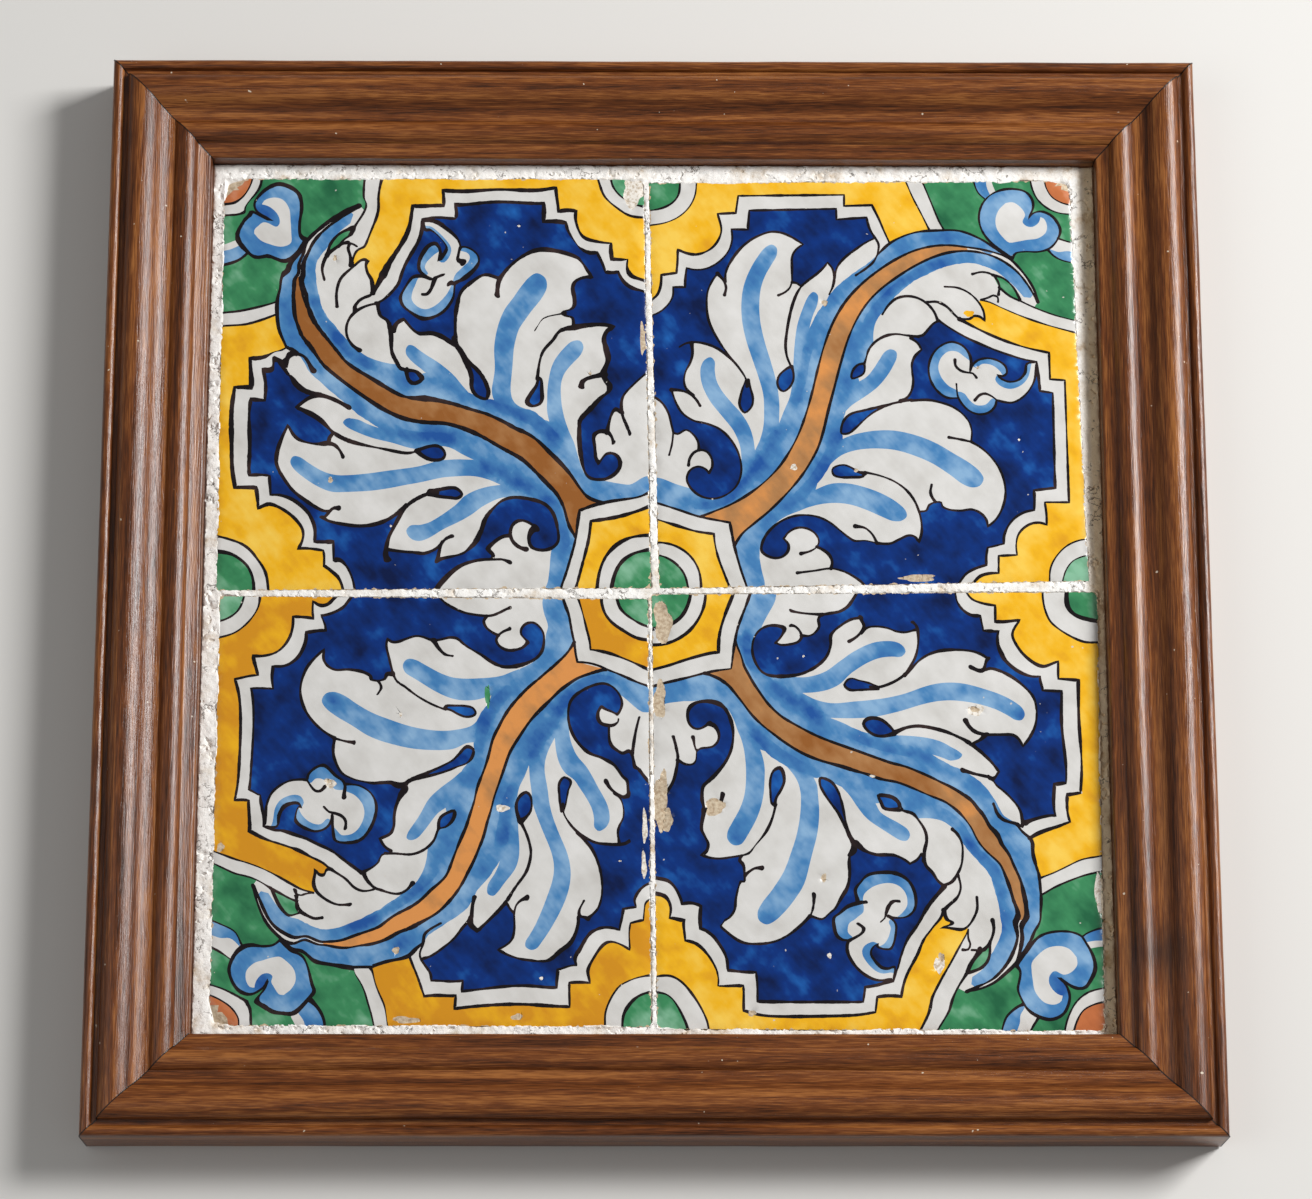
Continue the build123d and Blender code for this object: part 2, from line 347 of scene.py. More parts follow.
THIN_LINES = ("arc_a_yellow", "arc_a_green", "arc_b_yellow", "arc_b_green", "corner_ring", "corner_disc",
              "tail_a", "tail_b_low", "tail_b_top", "left_ring", "right_ring", "right_disc")

# Painted areas from the first coat to the last: the paint, its tone from thin to full, its outline,
# and the tile that lacks it. An outline is made of ink lines (a name, with - for backwards, or a name
# with the two points between which it is followed) and of smooth runs of its own.
AREAS = [
    ("blue", 0.35, [[(-3, 54.6), (3, 53.2), (9, 50.6), (16, 48.2)], [(30, 50), (39.6, 56)],
                    [(39.8, 62), (39.3, 68.5), (36.6, 76), (31.4, 83.4), (26.2, 90.6), (23, 97.5),
                     (21.9, 103),
                     (22.2, 108), (24, 111.3), (26.8, 112.6), (28.7, 110.5), (28.6, 106), (29.3, 101),
                     (31.6, 96),
                     (36, 90), (40.5, 84.5), (44, 78), (45.6, 72), (46.2, 66.4)],
                    [(48.6, 71.5), (50.4, 78), (51, 86), (50.8, 94), (49, 102), (46.4, 111), (43.6, 121),
                     (42, 131),
                     (42, 140), (43.2, 147.5), (46, 155), (50, 162), (54, 167), (57, 168.4), (59.3, 166.8),
                     (59.2, 163), (57, 159), (53.6, 153), (51.3, 146.5), (50.3, 138), (50.6, 129.5),
                     (52.3, 120),
                     (55, 109.5), (57.3, 99), (58.2, 90), (57.8, 79.6)],
                    [(60.4, 86), (63, 92), (64.5, 99), (65.3, 108), (66.2, 118), (67.8, 128), (70.5, 136),
                     (73.6, 142.6), (76, 144.6), (77.9, 143), (77.6, 138.5), (75.2, 132.5), (73.5, 126.5),
                     (73, 122)],
                    [(75.5, 127), (79.5, 133.5), (83.5, 140.5), (87.5, 146.8), (92, 151.4), (97, 154.2),
                     (102, 158.5), (106.8, 163)],
                    ("leaf_top", (106.8, 163), (170, 160)), "-stem_left", ("octagon_outer", (19, 34.7),
                                                                           (-3, 42.6))]),
    ("blue", 0.35, [[(48.5, -3), (48.8, 2), (47.6, 8), (46.8, 14)], [(47, 19)],
                    [(50, 26), (55, 31), (60, 34.2), (66, 36.6)],
                    [(70, 38.2), (76, 39.7), (83, 40.2), (90, 39.2), (97, 36.6), (104, 33.2), (109, 31),
                     (113, 30.9),
                     (115.8, 33), (115.3, 36), (111.5, 40), (105, 44.2), (97.5, 47.4), (89, 49.6), (81, 49.6),
                     (75, 47.4), (73.8, 46.8)],
                    [(75.2, 51), (78, 55.2), (82, 60), (87, 63.8), (94, 66), (103, 66.6), (112, 65.6),
                     (120.5, 62.8),
                     (128.5, 59), (136.5, 53.4), (142.5, 48.6), (146.8, 46.8), (150.6, 47.6), (152.5, 51),
                     (150.8, 54.6), (146, 59), (139, 63.6), (130.5, 69), (121, 73), (111, 75.3), (101, 75.2),
                     (92, 73.4), (85.6, 70.8)],
                    [(85.2, 74), (84.8, 78), (86, 82.5)],
                    [(88, 84), (92, 88), (98, 92), (104, 96.5), (108.5, 101.5), (112, 107), (114, 111.5),
                     (113.8, 114.4), (111.4, 115.6), (108.6, 114.4), (105.5, 110), (102.5, 105.5),
                     (99.5, 102),
                     (96, 99.8)],
                    [(95.5, 104), (98.6, 108.4)], [(99.5, 111), (101, 115.5), (103.3, 119)],
                    [(103.4, 123), (104.2, 127.5), (106.2, 132), (109, 137), (113.5, 142.4), (119, 147),
                     (126, 151.6),
                     (134, 155.4), (142, 157.6), (149, 158.6), (155, 158.2), (161, 155.4), (167, 150.6),
                     (171.5, 146), (175.4, 141)], [(178.6, 140.6)], [(180.5, 143)],
                    "-stem_right", [(38, 8.5), (39.8, 2.5), (41.5, -3)]]),
    ("cobalt", 0.6, ["step_a_inner", ("lobe_4_top", (106, 171.4), (86.1, 151.4)),
                     ("lobe_3_top", (86, 152), (70.2, 147.4)), ("lobe_3_left", (70.2, 147.2), (66, 149.4)),
                     ("lobe_2_top", (66, 149.6), (34.6, 150)), ("lobe_2_spur", (33.8, 150.8), (31.2, 154.1)),
                     "lobe_2_left", ("lobe_1_top", (36, 112), (18.2, 119.6)),
                     ("lobe_1_left", (18.2, 119.6), (15, 97.4)), ("lobe_1_spur", (16, 95), (8.2, 96.7)),
                     "hook_a_outer", ("hook_a_inner", (24.6, 55.8), (21, 67)), "-joint_lobe_a"]),
    ("cobalt", 0.6, ["step_b_inner", "-lobe_8_low", "-lobe_7_low", "-lobe_6_top", "-lobe_6_low",
                     ("lobe_5_low", (121.6, 35.3), (101.4, 20.3)), "hook_b_outer",
                     ("hook_b_inner", (58.2, 23.2), (73.4, 19)), "joint_lobe_b",
                     ("joint_spur_b", (79.6, 8.3), (97, -3))]),
    ("cobalt", 0.5, ["wedge"]),
    ("cobalt", 0.5, ["drop_1"]),
    ("cobalt", 0.5, ["drop_2"]),
    ("cobalt", 0.4, ["drop_3"]),
    ("cobalt", 0.4, ["drop_4"]),
    ("yellow", 0.5, ["step_a_outer", ("leaf_top", (112.8, 168.6),
                                      (131.8, 175)), "-arc_a_yellow", "-left_ring"]),
    ("yellow", 0.5, ["step_b_outer", ("lobe_9_top", (144.3, 130.3),
                                      (155, 139.8)), "arc_b_yellow", "right_ring"]),
    ("yellow", 0.5, ["octagon_inner", [(-3, -3)]]),
    ("white", 0.5, ["octagon_ring", [(-3, -3)]]),
    ("green", 0.5, ["octagon_disc", [(-3, -3)]]),
    ("green", 0.5, ["left_disc", [(-3, 203)]]),
    ("green", 0.3, ["right_disc", [(203, -3)]]),
    ("green", 0.6, ["arc_a_green", ("leaf_top", (138.8, 175), (182, 138.5)), ("arc_b_green", (180, 135.8),
                                                                              (203, 128)),
                    [(203, 203)]]),
    ("green", 0.5, ["sliver"]),
    ("white", 0.5, [[(153.6, 203), (154.4, 197.5), (156, 193.6), (158.8, 190.8)], [(164, 194.6)],
                    [(162.6, 199), (162.6, 203)]]),
    ("blue", 0.4, [[(153.6, 203), (154.4, 197.5), (156, 193.6), (158.8, 190.8)], [(161.4, 193)],
                   [(160, 197), (160, 203)]]),
    ("white", 0.5, [[(193, 170.5), (197, 169), (203, 167.5)], [(203, 157.4)],
                    [(194.4, 159.4), (190.4, 161.8), (188, 164.6)], [(190.6, 166.6)]], "tile_top_left"),
    ("blue", 0.4, [[(189, 165), (193, 163.6), (197, 164), (203, 163)], [(203, 157.4)],
                   [(194.4, 159.4), (190.4, 161.8), (188, 164.6)]], "tile_top_left"),
    ("white", 0.5, ["corner_ring", [(203, 203)]]),
    ("rust", 0.5, ["corner_disc", [(203, 203)]]),
    ("blue", 0.4, ["volute"]),
    ("white", 0.5, [[(168.8, 188.6), (165.4, 185.2), (163.6, 180.6), (164, 175.6), (166.6, 171.4),
                     (169.6, 168.6),
                     (173.4, 169), (178.4, 169.9), (183.4, 170.6), (187.2, 173.4), (188, 177.2),
                     (186.6, 180.6),
                     (184.6, 181.4)],
                    [(183.8, 178.2), (181, 176.4), (178, 176.9), (176.4, 179), (177.8, 182.6), (175.6, 186.6),
                     (172, 189), (168.8, 188.6)]]),
    ("blue", 0.75, [[(176.5, 178.5), (178, 176.9), (181, 176.4), (184, 178.4), (185, 181.4), (184, 183.6),
                     (181.6, 183), (179.3, 180.6), (176.5, 178.5)]]),
    ("white", 0.5, ["cloud"]),
    ("blue", 0.35, [("cloud", (149, 108.4), (141.9, 91)),
                    [(141.8, 94.5), (138, 97), (134.6, 101.5), (133.4, 106.4), (135, 111.2), (138.6, 114.2),
                     (142.6, 114), (146, 111.4), (148.4, 109.4)]]),
    ("blue", 0.35, [("cloud", (163.6, 101.6), (149.4, 107)),
                    [(151, 106), (154.4, 107.8), (158.6, 107.2), (162, 104.6), (163.8, 101.8)]]),
    ("blue", 0.35, [("cloud", (175.4, 107.6), (161, 102.2)),
                    [(160, 100), (162, 97), (166.6, 95.2), (171.6, 96.6), (175.4, 100.4), (177.6, 107.8)]]),
    ("blue", 0.35, [("cloud", (142, 94), (160, 90)),
                    [(158.4, 90.6), (155, 87.6), (150.6, 87.4), (147.4, 90), (145.4, 93), (143.6, 94)]]),
    ("stem", 0.5, [("stem_left", (20.5, 34.6), (149, 166.4)), [(150, 164.4)], ("stem_right", (150, 164.4),
                                                                               (35.3, 20.3)),
                   [(33.5, 31.4)]]),
]

# Second strokes of blue over the first, as ribbons: tone, width in mm and route
STROKES = [
    (0.5, 5.0, [(12, 42.5), (22, 40.8), (30, 42.5), (38, 47), (45, 53.5), (51, 61), (56, 69), (61, 79),
                (65, 90),
                (68.5, 101), (71.5, 113), (75.5, 124.5), (81, 135), (88, 144.5), (97, 152), (107, 159),
                (118, 165.5),
                (128, 169.5), (140, 171), (150, 169.5), (160, 165.5)]),
    (0.5, 5.0, [(44.5, 4), (43, 14), (46, 24), (52, 32), (59, 38), (66, 44), (73, 52), (79, 61),
                (82.5, 70), (85, 80),
                (88, 91), (91.5, 102), (95, 113), (99, 124), (104, 133), (110.5, 141), (118, 148.5),
                (127, 154.3),
                (136, 158.3), (146, 160.6), (155, 160.3), (163, 157), (170, 151)]),
    (0.8, 4.2, [(19, 39.8), (27, 40.5), (35, 44.5), (42, 52), (47, 60), (52, 67.5), (56, 74.5)]),
    (0.75, 4.0, [(66.8, 92), (69, 100), (70.8, 108), (72, 115)]),
    (0.75, 5.0, [(67, 44), (73.5, 52), (79, 60.5), (83, 68), (84.5, 72.5)]),
    (0.75, 4.0, [(101, 130), (105, 136.5), (111, 143), (119, 149.5), (128, 154.8), (137, 158.6)]),
    (0.6, 4.4, [(56.4, 164.8), (56.6, 165.2)]),
    (0.6, 3.6, [(76, 142), (76.2, 142.4)]),
    (0.6, 4.4, [(113, 33.8), (113.3, 34)]),
    (0.6, 4.8, [(148, 49.8), (148.4, 50)]),
]

# Lines that a tile lacks, and how strong each tile's yellow and stem were painted
MISSING_LINES = {"tile_top_left": ("tail_b_low", "tail_b_top")}
YELLOW_TONES = dict(zip(TILES, (0.4, 0.35, 0.85, 0.45)))
STEM_TONES = dict(zip(TILES, (0.9, 0.35, 0.1, 0.6)))

# Wear, in mm on the square as each tile was painted: what shows there, its middle, half width and half height
WEAR = {
    "tile_top_left": (
        ("biscuit", 52, 148, 1.4, 1.2), ("biscuit", 103, 27, 0.7, 0.7), ("biscuit", 160, 147, 1.3, 1.0),
        ("chalk", 30, 120, 0.6, 0.5), ("chalk", 176, 60, 0.6, 0.7), ("biscuit", 120, 2, 7, 1.4),
        ("chalk", 194, 5, 7.5, 5.5)),
    "tile_top_right": (
        ("chalk", 64, 58, 1.7, 1.4), ("biscuit", 81, 139, 1.3, 1.6), ("biscuit", 93, 56, 1.1, 0.9),
        ("biscuit", 152, 106, 0.7, 0.7), ("biscuit", 120, 3, 9, 1.6), ("yellow", 149, 133, 2.2, 1.8),
        ("chalk", 170, 70, 0.6, 0.6)),
    "tile_bottom_left": (
        ("chalk", 68, 99.8, 2.8, 1.9), ("green", 75, 47, 1.2, 5.5), ("chalk", 147, 88.5, 2.6, 2.2),
        ("biscuit", 147.5, 87.5, 1.0, 0.9), ("biscuit", 111, 197, 6, 1.5), ("biscuit", 61, 195.5, 2.6, 1.4),
        ("biscuit", 196.5, 118.5, 1.6, 2.2), ("biscuit", 116, 165.5, 1.5, 1.8), ("chalk", 14, 124, 0.6, 0.5),
        ("chalk", 3, 126, 1.2, 6), ("chalk", 2.5, 108, 1.3, 7), ("chalk", 50, 178, 1.0, 0.7),
        ("chalk", 115, 56, 0.6, 1.2)),
    "tile_bottom_right": (
        ("biscuit", 13, 5, 9, 4.2), ("biscuit", 49, 3.2, 8, 3), ("biscuit", 95, 3, 13, 3.2),
        ("biscuit", 104, 6, 5, 2.6), ("biscuit", 98, 27.5, 3.6, 4.8), ("chalk", 54, 145, 2.6, 3.4),
        ("biscuit", 53.5, 144.5, 1.2, 2.2), ("biscuit", 130.5, 76, 1.8, 1.3), ("chalk", 170, 127, 4, 2.2),
        ("biscuit", 166.5, 128, 2.2, 1.3), ("biscuit", 192.5, 43, 1.4, 1.8), ("chalk", 29, 68.3, 0.5, 0.6),
        ("chalk", 84, 98.5, 0.7, 1.2), ("chalk", 137, 198, 9, 1.6), ("chalk", 166, 78, 1.1, 1.1)),
}

# Where points of the design square lie on the hand-painted tiles, read from their painting:
# top left, bottom left and bottom right, in mm on each tile's own square. None where its
# neighbours foresee the place. The top right tile is the one that the design was drawn from.
LANDMARK_TILES = ("tile_top_left", "tile_bottom_left", "tile_bottom_right")
LANDMARKS = {
    (80.2, 118): (None, (78.4, 118), (81.5, 117.7)), (84.8, 129.5): (None, (83.5, 129.5), (87, 129.2)),
    (0, 41.5): ((1, 41.5), (0.5, 41.8), (1, 44.3)), (19, 34.7): ((23, 34.8), (19, 34.4), (19.5, 38)),
    (38, 8.5): ((42.6, 8.5), (37.2, 8.5), None), (41, -1): (None, (40.2, 0), (43, -0.5)),
    (26, 26): ((31.8, 27.5), (27.2, 24.7), (27, 30)), (0, 33.6): ((0.5, 34.8), (0.5, 34), (0.5, 37)),
    (27.6, 15): ((33.8, 15.2), (29, 15), (30.5, 15)), (33, 0): ((38.8, 1), None, (35.3, 0)),
    (0, 22.3): ((0, 25), (0.5, 19.8), None), (12, 18.2): (None, (11.5, 15.7), (13.5, 20)),
    (14, 16.3): ((17.5, 18.8), None, None), (19.4, 1): ((24.9, 1.5), (22, 1), (23.5, 1.5)),
    (13.6, 0): (None, (14.8, 0.5), (16.3, 0.5)), (1, 16): ((1, 18.2), None, (1, 17.6)),
    (9.5, 10.5): ((12.6, 13.4), None, (11, 13)), (27, 43.2): ((27, 42.8), (23, 40.9), (27, 45.3)),
    (14.2, 53): ((18.2, 50.2), (12.7, 50.5), (14.8, 54)), (19.5, 58.9): (None, (16.5, 54.6), (19, 58.9)),
    (39.6, 57): ((43.2, 60.3), (37.6, 57), (38.2, 58)), (33, 45.4): (None, (32, 44.8), (33.5, 47.5)),
    (24.6, 55.8): ((28.8, 52.9), (22.3, 51.8), (22.8, 55.8)),
    (26.1, 62.3): ((32.3, 60.7), (23.8, 57.5), (23.6, 61.5)), (21, 67): (None, (19.5, 60.5), (20.2, 67.5)),
    (15.2, 59.6): ((18.5, 57.7), (14.4, 57.8), (14.8, 63)),
    (8.6, 75.6): ((14, 73.4), (8.1, 73.8), (10, 76.5)), (14.6, 76.9): (None, (12.9, 73.6), (15.5, 75.4)),
    (19.9, 71): (None, (18.5, 68.2), None), (6.4, 64.8): ((12.7, 65.4), (4.7, 56.6), (8.1, 62.7)),
    (7.8, 79.5): ((13.8, 78.6), None, None), (4, 90): ((8.8, 91), (4.8, 81.5), None),
    (0, 93.4): ((1.5, 98), (1, 86.5), (0.5, 92.3)), (8.2, 96.7): ((13.7, 98.5), (10, 93.2), (11.5, 94)),
    (13, 85.2): ((17, 86.5), (12.5, 84.8), (15, 85.2)), (24, 79.9): ((27, 78.5), (22, 76), (24, 80.5)),
    (38.5, 65): (None, None, (37.3, 66.5)), (35, 72): ((38, 72.8), (32, 70.2), None),
    (21.3, 88.7): ((25, 92), (20.2, 87.2), (22.3, 88.8)), (16, 95): (None, (14, 93.6), (16.5, 95.3)),
    (3, 53.2): ((3, 47.8), (3, 54.3), (3, 56)), (42, 85): ((45, 87.2), (39.5, 85.2), (42.1, 86.4)),
    (46, 92): ((47.9, 93.2), (41.8, 92.5), (44.6, 92.5)), (60.3, 95.3): ((63.9, 95), (57, 92.3), None),
    (65, 100.5): ((68.2, 99.5), None, None), (57.6, 99.5): ((61.3, 98.4), (54.5, 97), (57.4, 99)),
    (65.3, 104): (None, (61.2, 101.6), (65.7, 104)), (64.2, 107.6): ((65.6, 108), None, (64.1, 108.6)),
    (81.8, 56.5): ((87.2, 54), (80.4, 55.2), (80.2, 56.9)),
    (85, 52.8): ((90.2, 49.7), (84.5, 52), (85, 52.7)), (87.5, 58.7): ((89.9, 56.6), None, None),
    (97, 54.5): ((100.8, 51.4), (94.5, 53.2), None), (50, 50.8): ((51.8, 49.5), None, (50, 51.4)),
    (57, 58): ((61, 58.6), (55, 58.5), (56.6, 58)), (66.4, 73.5): (None, (64.6, 73.8), None),
    (73.8, 95): ((78.9, 95), (71.8, 95), None), (76.8, 106.5): (None, (74.9, 106.5), (78, 106.8)),
    (90.8, 139.5): (None, None, (92.8, 139.2)), (98, 147.6): (None, (97, 148), (99, 145.2)),
    (106, 154.3): (None, (106.5, 153.6), (107, 150.3)), (115, 160.3): (None, (115, 157.3), (115, 155.4)),
    (60, 44.8): ((65, 46.6), None, None), (72, 60.6): ((76.4, 62.2), (69.8, 61.8), None),
    (80.8, 85): (None, (77.7, 85.3), (79.8, 85.4)), (78.2, 75): ((83.4, 75.5), None, (76.8, 75)),
    (84.2, 97): ((89.7, 96.6), (80.9, 96.8), (83.4, 96.8)), (87.6, 109): (None, (84.6, 108.8), (86.7, 109)),
    (47.8, 17.6): ((51.8, 21.1), (49, 18), (50.3, 19.6)),
    (54, 13.8): ((58.1, 13.5), (53.6, 12), (56.5, 15.7)),
    (60.3, 20.4): ((63.7, 20.4), (59.3, 18), (62.2, 21.1)),
    (58.2, 23.2): ((59.6, 23.4), (56.4, 21.2), (59.8, 25.3)), (80, 30.6): ((80.9, 31.6), (78, 27.5), None),
    (69, 34.5): (None, (67.5, 33.2), (66.7, 36.1)), (84.4, 26.8): ((87.2, 25.6), None, None),
    (64.5, 28.3): ((67.5, 25.2), (62, 25), (64.5, 29.7)), (73, 25.3): (None, None, (70.7, 26)),
    (74.5, 21.8): ((74.8, 22.6), (71, 20.5), (71.2, 21.2)),
    (66, 15.8): ((69.3, 16.5), (64.8, 15), (66, 18.1)), (76, 17.6): (None, None, (76.5, 19.3)),
    (73.4, 19): ((74.4, 19.3), None, None), (80.3, 11.5): ((85.6, 15.3), (76.9, 11.5), None),
    (79.6, 8.3): ((83.9, 12.3), (75.5, 8.9), (76.5, 11)), (86, 6.6): ((91.7, 11.8), (85.5, 7.5), (86, 9)),
    (94.3, 0.8): ((101.4, 2.5), None, (97, 1)), (47.6, 8): ((49.2, 9.2), (48.7, 8), None),
    (46.8, 14): (None, (47, 14), (49.5, 14)), (14.2, 101): (None, (12.2, 100), (15.5, 101)),
    (18.2, 119.6): (None, (14.3, 115.8), (17, 119)), (121, 20.4): ((126, 15.5), (121.6, 20), (120.2, 21.1)),
    (116.4, 23.8): (None, (117, 21.6), (115.4, 24.3)), (105, 19.9): (None, (105, 19.2), (105, 21.6)),
    (116, 46): ((120, 43.8), (113.5, 42.7), (115.8, 45.4)), (122.5, 30): (None, (120.8, 29), (121.7, 30.8)),
    (110.6, 50.3): ((114.5, 48.6), None, (110.2, 49.9)), (108, 20.1): ((109.8, 18.3), None, None),
    (101.4, 20.3): ((102.6, 20.8), (100.3, 20.8), (99.5, 22.6)),
    (91.6, 28.7): ((96.3, 31.4), (91.2, 28.2), (92.2, 31.2)), (99.4, 24.6): ((101.2, 26.2), (98, 24.3), None),
    (96, 21.6): ((97.5, 17.9), (93, 19.3), (95, 21.7)), (91, 21.6): (None, (89, 20), (88.8, 22.3)),
    (121.6, 35.3): ((125.4, 34.4), (118.7, 37), (120.4, 39.3)),
    (125, 35.8): ((130.3, 35), None, (122.6, 38.4)),
    (129.4, 40): ((132.4, 39.4), (125.6, 40.3), (129.5, 40.6)), (141, 35.5): ((140, 34), None, None),
    (146.4, 36): ((145.6, 34.7), (145.5, 35.1), None), (150.6, 34): ((149, 32.7), None, (148.8, 33.3)),
    (135.4, 36.2): (None, None, (134.5, 37.8)), (153.5, 27.4): ((150.5, 25.4), (150.9, 25.3), (152.8, 29.4)),
    (153, 30.8): (None, (151.1, 29.7), (150.3, 31)),
    (160.5, 36): ((160.2, 32.3), (158.7, 34.2), (158.7, 36.4)),
    (162.3, 45): ((163.9, 46.5), (161.3, 44.3), (160.6, 44.3)), (160.5, 55): ((162.1, 56.2), None, None),
    (147.4, 69.3): ((149.7, 69.3), (145.3, 67.5), (147.9, 69.7)),
    (137, 71.6): ((141.5, 70.4), (136.3, 69.4), (138.2, 71.5)), (152, 66.2): (None, None, (152.4, 65.2)),
    (128, 48.4): ((124.7, 52.3), (125.8, 46.6), (126, 48.4)),
    (147.9, 74.5): ((151.6, 74.9), None, (149.4, 74.9)),
    (144, 83): ((147.5, 83.1), (141.8, 83.7), (144.5, 80.9)),
    (128, 90.2): ((132, 90), (127.3, 88.4), (127.5, 87.6)), (139.5, 86.6): (None, (136.3, 86.6), (138, 84.6)),
    (86.8, 75.5): ((91, 77), (81.5, 74), None), (91.5, 83.8): (None, (88.5, 80.4), (91.5, 83.1)),
    (97, 85.3): ((101, 82.6), None, (96.5, 84.6)), (104, 86.9): ((108, 85.3), (103.5, 85.3), None),
    (112, 88.9): ((115, 88.5), (111.5, 87.7), (112, 88.2)), (90, 74.2): (None, (84.5, 71), (88, 74.9)),
    (93.2, 76.6): ((97.5, 75.6), (88, 74.6), (91, 76.2)), (97, 80.2): (None, (91.4, 77.9), (96.5, 79.7)),
    (120, 90): (None, (118, 88.3), (119.5, 88)), (101.5, 84): ((105.5, 80.5), None, None),
    (128.8, 106): ((130, 105.7), (126, 103), (128, 105.5)), (130.5, 112): (None, None, (129.6, 110.9)),
    (140, 118.9): ((141, 116), (138.5, 116.1), (140, 116.9)),
    (148.3, 112.8): (None, (145, 112.5), (148.3, 112.4)), (129.5, 100): (None, None, (128.8, 96.6)),
    (148.5, 112): ((150.6, 110), None, None), (132.5, 94.6): ((134.8, 94.5), (128.8, 92.5), (132.6, 92.4)),
    (141.9, 91): ((147, 90.5), None, (141.5, 91.3)), (151, 82.9): ((157, 79.3), (149.7, 80.2), (149, 80.1)),
    (156, 83.5): ((162, 80), (154.5, 81.8), (156, 81)),
    (160.3, 89.7): ((165.4, 87.8), (157.6, 87.2), (159.1, 86.8)),
    (167.5, 88.4): ((169.5, 89.2), (165.5, 87.5), (165.4, 86.5)),
    (176, 94.6): ((175.8, 96), (174, 93.7), (175, 94.3)), (180, 108.4): (None, (177, 108.6), (177.4, 106.3)),
    (175.4, 107.6): ((174.2, 104.5), (171, 108.8), (171.3, 107.2)),
    (171.4, 99.8): (None, None, (170.8, 100.5)), (167, 98.7): ((165.5, 94.2), (164, 97.9), (165.5, 96.6)),
    (161, 102.2): ((158.5, 98), (159.8, 99.9), (160.4, 99.8)),
    (165.6, 103): ((167.2, 99), (162.1, 101.5), (162.8, 102)), (165.2, 106.4): ((166, 103), None, None),
    (157, 110.6): ((158, 107.3), (153.7, 111), (155.5, 107.8)),
    (149.4, 107): ((151.2, 104.5), (146.2, 106), (149, 105.9)),
    (141.4, 110): ((141.9, 105.7), (139.8, 109.5), None), (151.2, 101): ((151.3, 96.5), None, (150.5, 101.2)),
    (144, 104.5): ((145, 101.5), (141.5, 103.8), (143.4, 104.9)),
    (150, 89.8): ((158, 86.5), (149.5, 90.4), (151.6, 91.3)), (139.5, 1): (None, (139.5, 1.5), (130.8, 1.3)),
    (146.5, 7): ((147.5, 10), (146.5, 7.6), (134.5, 8.7)),
    (152, 8.8): ((153, 13.1), (152.4, 9.3), (142.5, 12.2)), (153, 17.2): (None, (150.3, 16.3), (143.5, 20.6)),
    (160.6, 19): ((162.7, 23), (159.2, 17.4), (153.8, 20.4)),
    (163.3, 28): ((165.3, 31.5), (162.3, 28.5), (157.5, 26.2)), (167, 32): (None, (166.5, 32.3), (164, 30.5)),
    (175.6, 35.2): (None, (174.3, 33.7), (172.9, 32.5)),
    (176, 44.9): ((178.3, 48.2), (174.1, 44.2), (173.8, 45)),
    (186, 46): ((187.4, 48.2), (184.2, 44.2), (187, 45.5)),
    (187, 93): ((186.7, 90.2), (184, 91.7), (187, 92.8)), (181, 94): ((179.6, 90.2), (178.9, 94.3), None),
    (168, 111.8): ((168, 107.8), (168, 110.8), (167.5, 109.5)), (158, 115.8): (None, (158, 114.1), None),
    (140, 125.6): (None, (139, 125), (140, 125)), (148, 120.6): ((147.5, 116.9), None, (148, 119.7)),
    (146, 0.6): ((149.5, 3), (147, 1.3), (138, 1)), (157.6, 4.8): (None, (156.4, 2.6), (149, 6.5)),
    (158, 13.1): ((159.5, 16), (156.2, 10.6), (150.2, 12.8)), (167.5, 23): (None, (167, 19.8), (163.5, 21.5)),
    (166.6, 13.4): ((167.3, 16.3), None, (159.3, 13.4)), (174, 28.6): ((175, 32), None, (173, 27.4)),
    (181.2, 28): ((183.6, 32.7), (183.6, 28.7), None),
    (180.8, 39): ((183.4, 41.1), (181.3, 37.8), (180, 39.2)),
    (192.2, 38.8): ((195.2, 42.3), (191.7, 39.8), (191.3, 39.3)),
    (193, 99.2): (None, (190.4, 96.6), (191.7, 98.2)), (186, 99.8): ((186.2, 95.8), (184.2, 96.8), None),
    (186.1, 113): (None, (183.4, 110.9), (184.5, 109.8)),
    (165, 119.4): ((163.5, 117.8), (165, 118.3), (165, 117.5)),
    (154.5, 124.4): ((152.5, 123.6), (155, 122.9), (155, 122.9)),
    (144.3, 130.3): ((142.3, 129.2), (145.8, 128.6), (145.3, 129.2)),
    (142, 132.6): (None, (140, 132.2), None), (129.3, 138.9): (None, (126, 137.5), (129.2, 135.9)),
    (181.3, 1): ((180.3, 2.5), (181, 1), None), (185, 12.3): ((185, 13), (186, 12.3), (179.5, 12.8)),
    (196, 20): ((196, 21), (197, 19.4), (196, 22.7)), (187.5, 0.5): (None, (188.6, 0.8), (183.2, 1)),
    (192.5, 9.8): (None, (193, 9), (188.5, 9)), (126, 174.2): ((125.1, 172.9), (126.5, 172.8), (127, 171.2)),
    (135, 174.9): (None, (135, 173.2), (135, 172.3)),
    (146, 174.6): ((145.3, 172.5), (146, 171.9), (146, 172.2)),
    (155, 171): ((153.5, 169.1), (154, 169.7), (154.5, 169.5)),
    (163, 165.6): ((161.7, 164.3), (162.5, 165.2), None),
    (176.5, 152): ((176.6, 152), (175.5, 152), (177.5, 152)),
    (182, 138.5): ((186.3, 135.5), (181.3, 136), None),
    (96.2, 152.7): ((104.7, 156.7), (95.9, 153.1), (96.6, 152.1)), (2, 178.7): ((1.8, 176), None, (1, 175.4)),
    (14, 182.8): ((14.5, 181), (14.3, 181.3), (14, 179)),
    (21.7, 193.5): ((23.8, 193.5), (20.9, 193.3), (23, 193.5)),
    (2, 186.1): ((2.5, 182.5), (2, 184.4), (3.2, 186)), (11.3, 190): ((12.3, 186.3), (9.9, 189.6), None),
